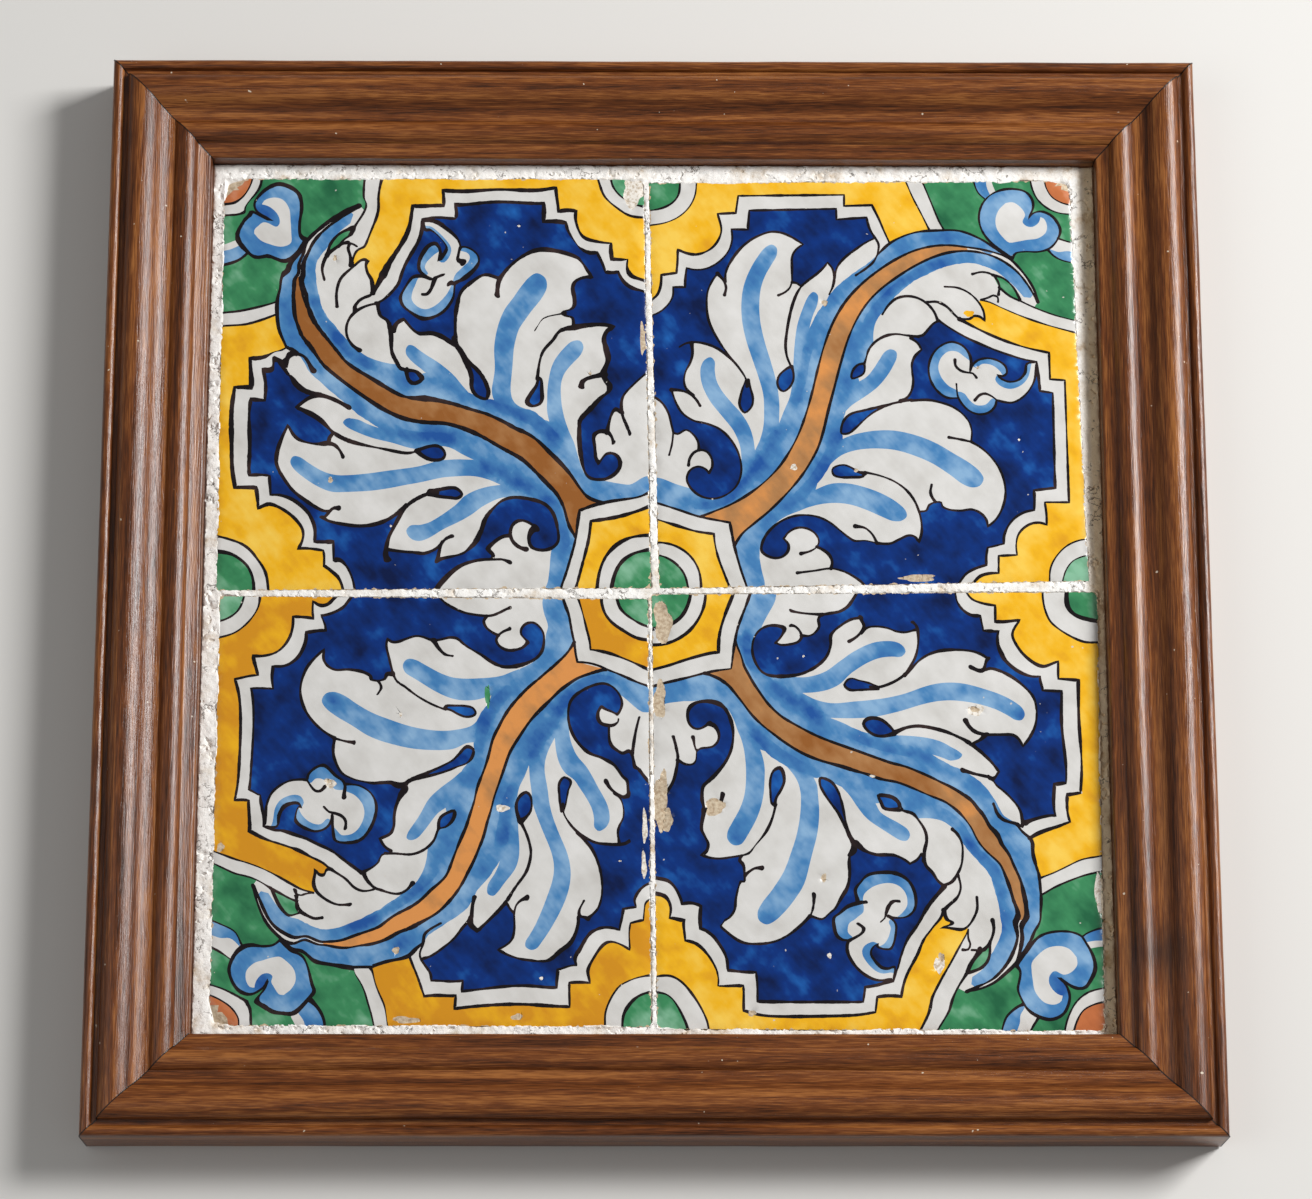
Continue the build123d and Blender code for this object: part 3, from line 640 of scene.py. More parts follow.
    (14, 194): ((16.9, 192.5), None, (12.7, 195.5)), (5, 153.6): ((11.4, 150.5), (3.5, 151.3), (6.2, 154.2)),
    (12, 154.6): ((18.5, 150.9), None, None), (12.9, 166.2): ((19.5, 162.3), (9.8, 164.8), (12.9, 165)),
    (25, 164.6): ((29.4, 160.9), (20.5, 161.7), (22.5, 162.5)),
    (33.6, 176): ((40.6, 175.5), (28.8, 174.4), (34.1, 175)),
    (32.1, 184): ((38.7, 181.1), (28, 180), (31.9, 181.8)), (40.6, 184.4): ((48.4, 182.2), (37.2, 180), None),
    (42, 193): (None, (37.2, 190.8), (40.5, 190.6)), (92, 193.2): ((96.6, 193), None, (91.7, 190.8)),
    (91.8, 187.6): ((96.6, 185.3), (88.7, 186), (92.6, 184.9)),
    (105, 187.9): ((110.6, 186), (102.9, 186.3), None), (0, 133.6): ((1, 136.5), None, (0.3, 136.6)),
    (7.8, 139): ((11.5, 140.5), (6.6, 139.8), None),
    (10.3, 147.5): ((14.1, 146.2), (6.9, 145.3), (10.9, 147.5)),
    (15.8, 147.5): ((22.6, 146.4), None, (17.6, 148.8)),
    (16.8, 157): ((22.6, 155), (14.4, 155.8), (18, 155.5)),
    (28.4, 157.6): ((34, 156.8), (25.5, 156), (28.5, 157)), (36.8, 165.6): ((42.5, 165), (32.6, 165), None),
    (38.4, 176.2): ((45, 175.6), (34.2, 172), (38.7, 173.6)),
    (46, 176): ((54, 176.2), (42.5, 174), (45, 174.8)), (47, 185.6): ((54.4, 185.3), None, None),
    (88, 186.2): ((90.8, 185.3), (85.9, 184), (87.2, 184.4)),
    (88, 180.8): ((90.3, 178.9), (85.6, 179.2), (87.8, 179.3)),
    (102.2, 181.7): ((104.9, 179.8), (99.7, 179.2), (102, 179.5)),
    (103.5, 176): ((106, 175.2), (100.7, 175), (102.4, 175)), (20.5, 34.6): (None, None, (22, 37.8)),
    (106, 171.2): ((108, 171.5), None, None), (112.8, 168.5): ((116, 169), (110, 167.8), (112.3, 168)),
    (0, 141.3): (None, (1, 142), (0.3, 141.8)), (31.2, 154.1): ((34, 151.2), (28.8, 150.5), (30.3, 150.5)),
    (26.4, 145.3): (None, (23.8, 145.2), None), (26.4, 131): (None, (22.6, 131), (26.6, 131)),
    (32, 118.6): (None, (27.5, 117.6), (31.8, 119.3)), (25.7, 138.3): ((30.2, 137.5), None, (26.4, 137.8)),
    (28.7, 124.8): ((32, 123.5), None, None), (36.4, 112): ((39.6, 112.9), (33.5, 111), (37.8, 113.5)),
    (12.5, 117.8): ((14, 121.5), None, (13.5, 117.2)), (30, 116.9): (None, None, (30, 118.2)),
    (24, 119.4): ((25, 120.8), (20.5, 116.2), None), (43, 101.5): ((45.2, 102.5), (39.9, 101.5), None),
    (18.5, 114.5): ((17.8, 114.5), None, None), (15, 105.5): ((16.9, 105), None, None),
    (34.2, 143.4): ((38.6, 144.2), (30.6, 142.6), (34.3, 143)), (34.6, 150): (None, (33, 149.5), (35.8, 149)),
    (42, 166.2): (None, (40.8, 165), None), (47, 170.6): ((52, 169), None, None),
    (57, 174.8): ((61, 173.1), (54, 169.9), (56, 171.9)), (71.8, 168.4): ((78.3, 168), (69.5, 165), None),
    (66.5, 162.4): ((71.5, 163), None, None), (66.2, 156): ((69.3, 156), (62.2, 155), None),
    (66, 149.6): (None, (62.4, 148.5), (65.2, 149.5)),
    (59.4, 143): ((63, 142.3), (56.6, 141.1), (58.5, 140.1)),
    (70.2, 147.2): ((74.5, 146.7), (66, 143), (69.5, 142.5)), (64, 131): (None, (57, 129.5), (63.6, 131)),
    (62.7, 124): (None, (55, 122.8), (61.7, 123.6)), (66, 138.6): ((70.3, 138.6), None, None),
    (62, 118): ((65.5, 118), (55, 118), None), (83, 159.2): ((86.9, 164.3), (79, 156.6), (82, 154.8)),
    (86, 152): ((92.8, 153.8), (81.8, 150.5), (84.6, 151)),
    (83.3, 143.2): ((86.8, 139.8), (80.5, 141), (81.3, 138.5)), (78, 153.7): ((81.8, 154.4), None, None),
    (87.5, 156.8): ((94.3, 158.8), (85.5, 154.6), (88, 153.3)),
    (91, 161.3): (None, (89.3, 159.6), (91, 156.8)), (101, 168.8): (None, (100.5, 168.2), None),
    (96, 165.3): ((101.5, 166.8), None, None), (106, 171.4): ((109.5, 172.8), (104.5, 169.6), (105.5, 165.3)),
    (106.8, 163): (None, (103.6, 162), (105.9, 162.5)), (107.5, 168): ((111.9, 168.5), None, None),
    (122, 198.5): ((126.5, 199.5), (119.4, 199), (120.6, 198.3)),
    (124.6, 191.5): ((127.1, 190), (120.8, 190.8), (122, 191)),
    (131.8, 175.2): ((132.1, 174.2), (127.2, 173.6), (130.4, 172.4)),
    (129.8, 198.5): ((133, 199), None, None), (133, 189.6): ((134.1, 190), (128.2, 189.8), (130, 189.5)),
    (138.8, 175): (None, (134.8, 173.6), (138.2, 172.5)), (124, 164.7): ((123.8, 163), None, (124, 160.4)),
    (133, 167): ((132, 165.6), (132.5, 163.4), (132.5, 163.9)),
    (141, 167.4): ((141.5, 166.4), None, (141, 165.7)),
    (149, 166.4): ((150, 165.8), (148.5, 163.1), (149, 166)),
    (157, 165): ((157, 164), (157, 160.8), (157, 164)), (35.3, 20.3): (None, (34.8, 21.5), (36.6, 23.8)),
    (45, 31): (None, (44, 32.4), (42.5, 34.5)), (52, 36.8): (None, (51, 38.6), (50, 40.4)),
    (67, 53): (None, None, (64.8, 54.5)), (95.8, 130.5): ((101.5, 130.5), (93.5, 131.2), (95.8, 130.6)),
    (101, 138.6): (None, (100.3, 137.7), (101.5, 137.6)), (107, 145): ((113, 144.6), None, (108, 142.3)),
    (124, 157): ((127.5, 155.6), (123.5, 154.6), (124, 154.5)), (133, 161.4): ((135, 159), None, None),
    (141, 163.8): ((142.3, 160.9), (141, 161), (141, 160.4)),
    (150, 164.4): ((151.5, 161.9), (149.5, 161.8), (150, 161)),
    (119, 172): (None, (119, 170.3), (119, 169.2)), (158, 163): ((160, 160.9), None, None),
    (34, 40.1): ((38, 39.9), (33.5, 38.5), (33.5, 41.5)),
    (42, 44.7): ((45.5, 43.7), (41.5, 44.3), (41.3, 45.6)), (33.5, 31.4): ((36.9, 32.7), None, (34.6, 35.6)),
    (57, 31.5): ((58.5, 31), (56.5, 31.2), (54.8, 33.8)), (48.5, 22): (None, None, (49.5, 24.1)),
    (75, 33.3): ((77.5, 32.3), None, None), (64, 6.5): ((73.7, 8.8), (64.6, 4.8), (65.7, 9.1)),
    (151.4, 152.8): ((149.5, 152), None, (149.7, 151)), (156, 153.8): ((155, 153), (153.5, 151), None),
    (161, 152.3): ((161.5, 150.6), (158.5, 148.5), (159.5, 149.6)),
    (163.9, 147.4): ((165.3, 146.2), (161.2, 144.3), (163.2, 146.5)),
    (163, 138.7): (None, (162, 138.2), None), (166, 150.6): (None, (164.5, 149.8), (166, 149.2)),
    (163.4, 142.4): ((168, 141.2), None, None), (174, 138.9): ((175.4, 138), (173, 137.4), (174, 139)),
    (190, 131.7): ((190, 133.6), (189.5, 130.6), (190.5, 131.2)),
    (201, 128.6): ((200.5, 133.2), (200.5, 125.6), None), (159, 138.6): (None, (158.5, 138), (158.5, 137.8)),
    (155, 139.8): ((157, 139.2), None, None), (165, 135.6): ((165.5, 133.3), (165.5, 134.4), (165.5, 134)),
    (174, 131.4): ((175.5, 129.3), None, (175, 128.6)),
    (185, 127.2): ((186.5, 126.6), (185.5, 125.2), (185.5, 123.4)),
    (201, 122.4): ((201, 124.8), (201, 119.9), (200.5, 117.8)),
    (138, 146.6): ((135.8, 145.8), (137.2, 144.6), (139.3, 144.1)),
    (153, 139.7): (None, (151.8, 139.4), None), (149, 143.6): ((149.5, 144.4), None, (148.6, 142.6)),
    (155.8, 134.5): (None, None, (153.9, 136.3)),
    (156.4, 129.2): ((158.8, 131.3), (153.3, 128.6), (153.1, 128.1)),
    (149.4, 130.4): (None, (148.3, 129.2), (149.7, 131)), (151, 131.7): ((152.5, 131.5), None, None),
    (108, 133): ((114.6, 135.3), (108.7, 134.8), (108.3, 133.7)),
    (120, 142): (None, (119, 139.2), (120.5, 138)), (125, 141): (None, (123.6, 137.7), None),
    (129.5, 138): ((134.1, 136.4), None, None), (134, 129.8): ((137.5, 127), (131.2, 130.2), (133.7, 129.9)),
    (129.6, 125.6): ((131.5, 125.5), (124.6, 125.3), (128.6, 125)),
    (132, 128.2): (None, (127.5, 127.7), (132.3, 127.2)),
    (98.6, 108.6): ((104.6, 113.2), (97, 109.3), (99.3, 110.5)), (93.6, 106): (None, None, (93.7, 107.2)),
    (96, 108.2): ((101, 112.5), None, None), (92.4, 103): ((98.8, 107.8), None, (92.8, 102.7)),
    (95, 101.8): (None, None, (95.6, 101.9)), (98.8, 106): (None, None, (99.3, 105.7)),
    (92.6, 101.3): ((100.5, 105.8), None, None), (98, 103.6): ((104, 108.5), None, None),
    (114, 123.1): ((117.5, 120.2), (113.5, 121.3), None), (101, 115.5): (None, (99.3, 115), None),
    (104.2, 119.4): ((108.5, 117.5), None, (104.2, 118.7)),
    (125.8, 115.2): ((129.8, 114.5), (123.8, 114.3), (124, 114.6)), (121, 121): (None, None, (119.5, 119.8)),
    (122.6, 112): ((125, 110.5), (119.2, 112), (121.7, 111.3)), (121, 104): (None, (117.5, 104), None),
    (121.3, 99.4): ((122.8, 101), None, (119.9, 99.7)),
    (118, 91.4): ((117.8, 92), (112.5, 91.6), (115.8, 92.1)),
    (170.6, 160.6): ((169, 161), (168.5, 161), (170.3, 161.3)), (159.4, 170.4): (None, (157.8, 168.8), None),
    (155.7, 182): (None, (153.5, 181.5), (154.6, 181.8)), (156.4, 176): ((160.9, 177.5), None, None),
    (161.5, 192.6): ((166.5, 191.2), (160, 193), (159.5, 191.9)), (167, 195.2): (None, (166, 194.2), None),
    (173, 195.7): (None, (171.5, 193.3), (172.2, 195.9)),
    (178.5, 194.2): (None, (175.5, 190.7), (178.1, 193)), (181.8, 186.4): (None, (176, 184.7), None),
    (181.4, 190.5): ((181.8, 187), None, None),
    (179.2, 180.4): ((178.6, 177.3), (173.6, 179), (175.5, 179.6)),
    (185.5, 184.2): (None, (180.5, 185.6), None), (181.6, 183.2): ((182.8, 183.8), None, None),
    (190, 182.3): ((192.5, 182), None, (190.8, 182.6)),
    (194.3, 174.4): ((197, 174), (191.2, 174.4), (194.6, 175.1)),
    (188.8, 165.5): ((191.8, 164.3), (186.3, 165), (189, 165)), (183.5, 163.8): (None, None, (182, 161.8)),
    (172.6, 163.2): (None, (171.5, 163.2), (172.9, 162.8)),
    (181.6, 196.5): (None, (181, 196.5), (180.7, 197.5)), (177, 163.9): ((177, 163.9), None, None),
    (184, 190.5): ((184.6, 189.8), (182.6, 190), (183, 191.5)), (188.4, 196.5): (None, (186.5, 196.5), None),
    (195.4, 188.6): (None, (194.8, 188.2), None), (191, 191.6): ((190.8, 190.6), None, (190.1, 190.8)),
    (154.4, 197.5): ((156.8, 198.5), (147.9, 197.5), (153.5, 197.5)),
    (156, 193.6): (None, (150, 192.8), (155.3, 193)),
    (158.8, 190.8): ((162.3, 188.3), (154.3, 187.8), (156.8, 190.8)),
    (190.4, 161.8): (None, (188.5, 157.8), (189, 161.3)), (194.4, 159.4): (None, (194, 154.5), (193, 156.8)),
    (201, 157.8): (None, (200, 152), None), (127.3, 44.6): ((130.2, 49), None, None),
    (193, 70): ((194.7, 70), None, None), (141.6, 98): ((147.5, 93), (140.6, 95), (141.5, 94.7)),
    (143.5, 88.6): (None, (141.5, 87), (143.4, 86.8)), (178.6, 99.5): ((178.2, 99.8), None, None),
    (197, 12): ((196, 15), (197.5, 11.6), (196.5, 13)),
    (110.4, 174.5): ((114, 173.6), (107.3, 174.3), (109, 174.5)),
    (40, 92): ((43.3, 92), (37.6, 91), (40, 92.2)), (40.5, 86.5): (None, (37, 86.3), (40, 87.8)),
}


# Curves of the pattern


def smooth_run(points, step):
    """Points along a smooth curve through a run, about a step apart (centripetal Catmull-Rom)."""
    knots = [np.array(p, float) for p in points]
    if len(knots) == 2:
        count = max(1, round(np.linalg.norm(knots[1] - knots[0]) / step))
        return [knots[0] + (knots[1] - knots[0]) * i / count for i in range(count + 1)]
    padded = [2 * knots[0] - knots[1]] + knots + [2 * knots[-1] - knots[-2]]
    out = []
    for p0, p1, p2, p3 in zip(padded, padded[1:], padded[2:], padded[3:]):
        t1 = max(np.linalg.norm(p1 - p0), 1e-6) ** 0.5
        t2 = t1 + max(np.linalg.norm(p2 - p1), 1e-6) ** 0.5
        t3 = t2 + max(np.linalg.norm(p3 - p2), 1e-6) ** 0.5
        count = max(1, round(np.linalg.norm(p2 - p1) / step))
        for i in range(count):
            t = t1 + (t2 - t1) * i / count
            a1 = p0 + (p1 - p0) * t / t1
            a2 = p1 + (p2 - p1) * (t - t1) / (t2 - t1)
            a3 = p2 + (p3 - p2) * (t - t2) / (t3 - t2)
            b1 = a1 + (a2 - a1) * t / t2
            b2 = a2 + (a3 - a2) * (t - t1) / (t3 - t1)
            out.append(b1 + (b2 - b1) * (t - t1) / (t2 - t1))
    out.append(knots[-1])
    return out


def trace(runs, step):
    """One line of points through all runs, with a corner where one run meets the next."""
    out = []
    for run in runs:
        points = ([out[-1]] if out else []) + list(run)
        if len(points) == 1:
            out = [np.array(points[0], float)]
            continue
        out += smooth_run(points, step)[1 if out else 0:]
    return out


def follow(name, step, start=None, end=None):
    """An ink line, backwards after a minus, or its stretch between the points nearest start and end."""
    line = trace(LINES[name.lstrip("-")], step)
    if name.startswith("-"):
        line = line[::-1]
    if start is None:
        return line
    first, last = (int(np.argmin([np.linalg.norm(p - np.array(q)) for p in line])) for q in (start, end))
    return line[first:last + 1] if first <= last else line[last:first + 1][::-1]


def outline(items, step):
    """The closed outline of a painted area."""
    out = []
    for item in items:
        if isinstance(item, str):
            out += follow(item, step)
        elif isinstance(item, tuple):
            out += follow(item[0], step, *item[1:])
        elif out:
            out += smooth_run([out[-1]] + item, step)[1:]
        else:
            out += trace([item], step)
    return np.array(out)


def ribbon(points, width, rng, roughness=0.0, end_swell=0.0):
    """The outline of a brush line of about that width, with round ends, swollen where the brush set down."""
    line = np.array(points)
    along = np.gradient(line, axis=0)
    along /= np.maximum(np.linalg.norm(along, axis=1), 1e-9)[:, None]
    side = np.stack([-along[:, 1], along[:, 0]], axis=1)
    rough = rng.normal(0, roughness, len(line))
    slow = np.convolve(np.pad(rough, 3, mode="edge"), np.ones(7) / 7 ** 0.5, "valid")
    half = width / 2 * np.clip(1 + slow, 0.55, 1.6)
    run = np.concatenate([[0], np.cumsum(np.linalg.norm(np.diff(line, axis=0), axis=1))])
    if end_swell:
        half *= 1 + end_swell * (np.exp(-(run / SWELL_REACH) ** 2)
                                 + np.exp(-((run[-1] - run) / SWELL_REACH) ** 2))
    left = line + side * half[:, None]
    right = line - side * half[:, None]
    caps = []
    for at, forward, across, size in ((line[-1], along[-1], side[-1], half[-1]),
                                      (line[0], -along[0], -side[0], half[0])):
        turns = np.linspace(0, math.pi, 7)[1:-1]
        caps.append(at + size * (np.cos(turns)[:, None] * across + np.sin(turns)[:, None] * forward))
    return np.vstack([left, caps[0], right[::-1], caps[1]])


def spline_warp(source, target):
    """A thin-plate spline that takes the source points to the target points, and bends least between."""
    source = np.array(source, float)
    target = np.array(target, float)
    count = len(source)

    def radial(points):
        squares = ((points[:, None] - source[None]) ** 2).sum(axis=2)
        return squares * np.log(np.maximum(squares, 1e-12)) / 2

    flat = np.hstack([np.ones((count, 1)), source])
    system = np.zeros((count + 3, count + 3))
    system[:count, :count] = radial(source)
    system[:count, count:] = flat
    system[count:, :count] = flat.T
    weights = np.linalg.solve(system, np.vstack([target, np.zeros((3, 2))]))

    def warp(points):
        points = np.atleast_2d(points).astype(float)
        even = np.hstack([np.ones((len(points), 1)), points]) @ weights[count:]
        return radial(points) @ weights[:count] + even

    return warp


def square_to_quad(source, target):
    """The map in perspective that takes four corners to four others."""
    rows = []
    for (x, y), (u, v) in zip(source, target):
        rows.append([x, y, 1, 0, 0, 0, -u * x, -u * y, -u])
        rows.append([0, 0, 0, x, y, 1, -v * x, -v * y, -v])
    matrix = np.linalg.svd(np.array(rows, float))[2][-1].reshape(3, 3)

    def place(points):
        lifted = np.hstack([np.atleast_2d(points), np.ones((len(np.atleast_2d(points)), 1))]) @ matrix.T
        return lifted[:, :2] / lifted[:, 2:]

    return place


def inside(points, polygon):
    """True for each point that the closed polygon winds round."""
    found = np.zeros(len(points), bool)
    low, high = polygon.min(axis=0), polygon.max(axis=0)
    near = np.flatnonzero(np.all((points >= low) & (points <= high), axis=1))
    ax, ay = polygon.T
    bx, by = np.roll(polygon, -1, axis=0).T
    for start in range(0, len(near), 4000):
        some = near[start:start + 4000]
        x, y = points[some, 0, None], points[some, 1, None]
        cross = (bx - ax) * (y - ay) - (x - ax) * (by - ay)
        up = (ay <= y) & (by > y) & (cross > 0)
        down = (ay > y) & (by <= y) & (cross < 0)
        found[some] = up.sum(axis=1) != down.sum(axis=1)
    return found


# Meshes


def triangulate(points, edges):
    """Delaunay triangles through all points that keep the edges: (points, triangles)."""
    result = delaunay_2d_cdt([Vector(p) for p in points], [tuple(e) for e in edges], [], 0, 1e-4)
    flat = np.array([v[:] for v in result[0]])
    triangles = np.array([f for f in result[2] if len(f) == 3])
    return flat, triangles


def ring_edges(first, count):
    """The edges of a closed ring of that many points, from a first index."""
    return [(first + i, first + (i + 1) % count) for i in range(count)]


def border_loop(triangles):
    """The vertices round the outer border of a patch of triangles, in their order."""
    pairs = np.vstack([triangles[:, [0, 1]], triangles[:, [1, 2]], triangles[:, [2, 0]]])
    ways = {(int(a), int(b)) for a, b in pairs}
    onward = {a: b for a, b in ways if (b, a) not in ways}
    loops = []
    while onward:
        start, here = onward.popitem()
        loop = [start]
        while here != start:
            loop.append(here)
            here = onward.pop(here)
        loops.append(loop)
    return max(loops, key=len)


def bumps(points, scale, seed):
    """Smooth noise from -1 to 1 at points in mm, with bumps about a scale in mm wide."""
    return np.array([noise.noise(Vector((x / scale, y / scale, seed))) for x, y in points])


# Past these angles between faces the shading breaks
SLAB_CREASE = math.radians(42)
RAIL_CREASE = math.radians(35)


def slab_mesh(name, flat, heights, triangles, rings):
    """A closed mesh in metres: the patch on top, walls down through the rings (z, scale), and a bottom."""
    loop = border_loop(triangles)
    centre = flat.mean(axis=0)
    points = np.column_stack([flat, heights])
    faces = [tuple(int(i) for i in t) for t in triangles]
    above = loop
    layers = [points]
    count = len(points)
    for z, scale in rings:
        layers.append(np.column_stack([centre + (flat[loop] - centre) * scale, np.full(len(loop), z)]))
        below = list(range(count, count + len(loop)))
        count += len(loop)
        for i in range(len(loop)):
            j = (i + 1) % len(loop)
            faces.append((above[i], below[i], below[j], above[j]))
        above = below
    faces.append(tuple(reversed(above)))
    mesh = bpy.data.meshes.new(name)
    mesh.from_pydata((np.vstack(layers) * MM).tolist(), [], faces)
    mesh.shade_smooth()
    mesh.set_sharp_from_angle(angle=SLAB_CREASE)
    return mesh


def put_in_scene(name, mesh, node, slot, materials):
    """Shows a finished mesh in place of a node of the frame, with its materials in their order."""
    piece = bpy.data.objects.new(name, mesh)
    bpy.context.scene.collection.objects.link(piece)
    for material in materials:
        mesh.materials.append(material)
    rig.ride(piece, "root")
    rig.replaces(piece, node)
    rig.slot(piece, slot)
    return piece


# Tiles

PAINTS = ("white", "blue", "cobalt", "yellow", "green", "rust", "stem", "ink", "biscuit", "chalk")
# How many of AREAS are washes that lie under the second strokes
WASHES = 2
# A paint's tone where nothing else is said
USUAL_TONE = 0.5
# Steps along the pattern's lines, along a tile's edge and across its face, in mm
PATTERN_STEP = 1.1
EDGE_STEP = 1.2
FACE_GRID = 2.6
# How rough strokes and ink lines are, as a share of their width, and how far a line swells at its ends
STROKE_ROUGHNESS = 0.08
INK_ROUGHNESS = 0.16
INK_SWELL = 0.3
SWELL_REACH = 1.1
# The rolled edge of the glaze, the pits and the walls of a tile, in mm
GLAZE_DROP = 0.1
ROLL_WIDTH = 1.4
ROLL_DEPTH = 0.55
PIT_DEPTH = 0.35
GLAZE_SIDE = 1.6
# The tile's sides narrow by these shares below the glaze and at the back
SIDE_SCALES = (0.999, 0.985)


def node_points(name):
    """The vertices of a node of the frame, in mm."""
    return np.array([v.co[:] for v in frame["nodes"][name].data.vertices]) / MM


def tile_corners(name):
    """The four outer corners of a tile, in the order of CORNER_SIGNS, in mm."""
    points = node_points(name)
    return [points[np.argmax(points[:, :2] @ np.array(signs)), :2] for signs in CORNER_SIGNS]


def edge_distance(points, corners):
    """How far inside the four edges of a tile each point lies, in mm: below zero outside."""
    distances = []
    for i in range(4):
        start, end = np.array(corners[i]), np.array(corners[(i + 1) % 4])
        along = (end - start) / np.linalg.norm(end - start)
        inward = np.array([along[1], -along[0]])
        distances.append((points - start) @ inward)
    return np.min(distances, axis=0)


def painted_shapes(name, settings, rng):
    """Every painted area of a tile as (paint, tone, outline on the design square), first coat first."""
    shapes = []
    for paint, tone, items in AREAS[:WASHES]:
        shapes.append((paint, tone, outline(items, PATTERN_STEP)))
    for tone, width, route in STROKES:
        stroke = ribbon(smooth_run(route, PATTERN_STEP), width, rng, STROKE_ROUGHNESS)
        shapes.append(("blue", tone, stroke))
    for paint, tone, items, *lacking in AREAS[WASHES:]:
        tone = {"yellow": YELLOW_TONES[name], "stem": STEM_TONES[name]}.get(paint, tone)
        if name not in lacking:
            shapes.append((paint, tone, outline(items, PATTERN_STEP)))
    for line, runs in LINES.items():
        if line in MISSING_LINES.get(name, ()):
            continue
        width = settings.thin_line if line in THIN_LINES else settings.ink_line
        width = width / MM * settings.ink_load[TILES.index(name)]
        route = trace(runs, PATTERN_STEP)
        shapes.append(("ink", USUAL_TONE, ribbon(route, width, rng, INK_ROUGHNESS, INK_SWELL)))
    return shapes


def hand_drift(name):
    """The warp from the design square to the square as that tile was painted."""
    if name not in LANDMARK_TILES:
        return np.atleast_2d
    column = LANDMARK_TILES.index(name)
    marks = {mark: places[column] for mark, places in LANDMARKS.items() if places[column]}
    return spline_warp(list(marks), list(marks.values()))


def worn_spot(middle, half_width, half_height, rng):
    """The ragged outline of a chip, a pit or a smear."""
    count = max(14, round((half_width + half_height) * 4))
    turns = np.arange(count) * 2 * math.pi / count
    reach = 1 + rng.uniform(-0.05, 0.05, count)
    for waves, depth in ((2, 0.13), (3, 0.12), (5, 0.08)):
        reach += depth * np.sin(waves * turns + rng.uniform(0, 6.28))
    across = half_width * reach * np.cos(turns)
    up = half_height * reach * np.sin(turns)
    return np.array(middle) + np.column_stack([across, up])


def corner_break(points, name, corners):
    """How deep a node's broken outer corner lies below its face at points, in mm: below zero outside."""
    solid = node_points(name)
    outer = int(np.argmax(np.abs(np.array(corners)).sum(axis=1)))
    top = solid[:, 2].max()
    high = solid[solid[:, 2] > top - 0.05, :2]
    outward = np.array(CORNER_SIGNS[outer]) / math.sqrt(2)
    run = (np.array(corners[outer]) @ outward) - (high @ outward).max()
    near = solid[(solid[:, :2] @ outward) > (np.array(corners[outer]) @ outward) - 1.5]
    depth = top - near[:, 2].max()
    if run < 2:
        return np.full(len(points), -1.0)
    return depth * ((points @ outward) - (high @ outward).max()) / run


def smooth_tones(triangles, paints, tones):
    """Tones at the corners of faces, blended with the neighbours that have the same paint."""
    kinds, where = np.unique(triangles * len(PAINTS) + paints[:, None], return_inverse=True)
    where = where.reshape(-1)
    counts = np.bincount(where)
    blended = tones
    for again in range(2):
        corner = (np.bincount(where, np.repeat(blended, 3)) / counts)[where]
        blended = corner.reshape(-1, 3).mean(axis=1)
    return corner


def tile_outline(corners, rng):
    """The hand-broken outline of a tile's face: its four edges with small nicks, in mm."""
    points = []
    centre = np.mean(corners, axis=0)
    for i in range(4):
        start, end = np.array(corners[i]), np.array(corners[(i + 1) % 4])
        steps = int(np.linalg.norm(end - start) / EDGE_STEP)
        for k in range(steps):
            at = start + (end - start) * k / steps
            nick = 0.15 + 0.25 * abs(noise.noise(Vector((at[0] / 4, at[1] / 4, 3.0)))) + 0.12 * rng.random()
            inward = (centre - at) / np.linalg.norm(centre - at)
            points.append(at + inward * nick)
    return np.array(points)


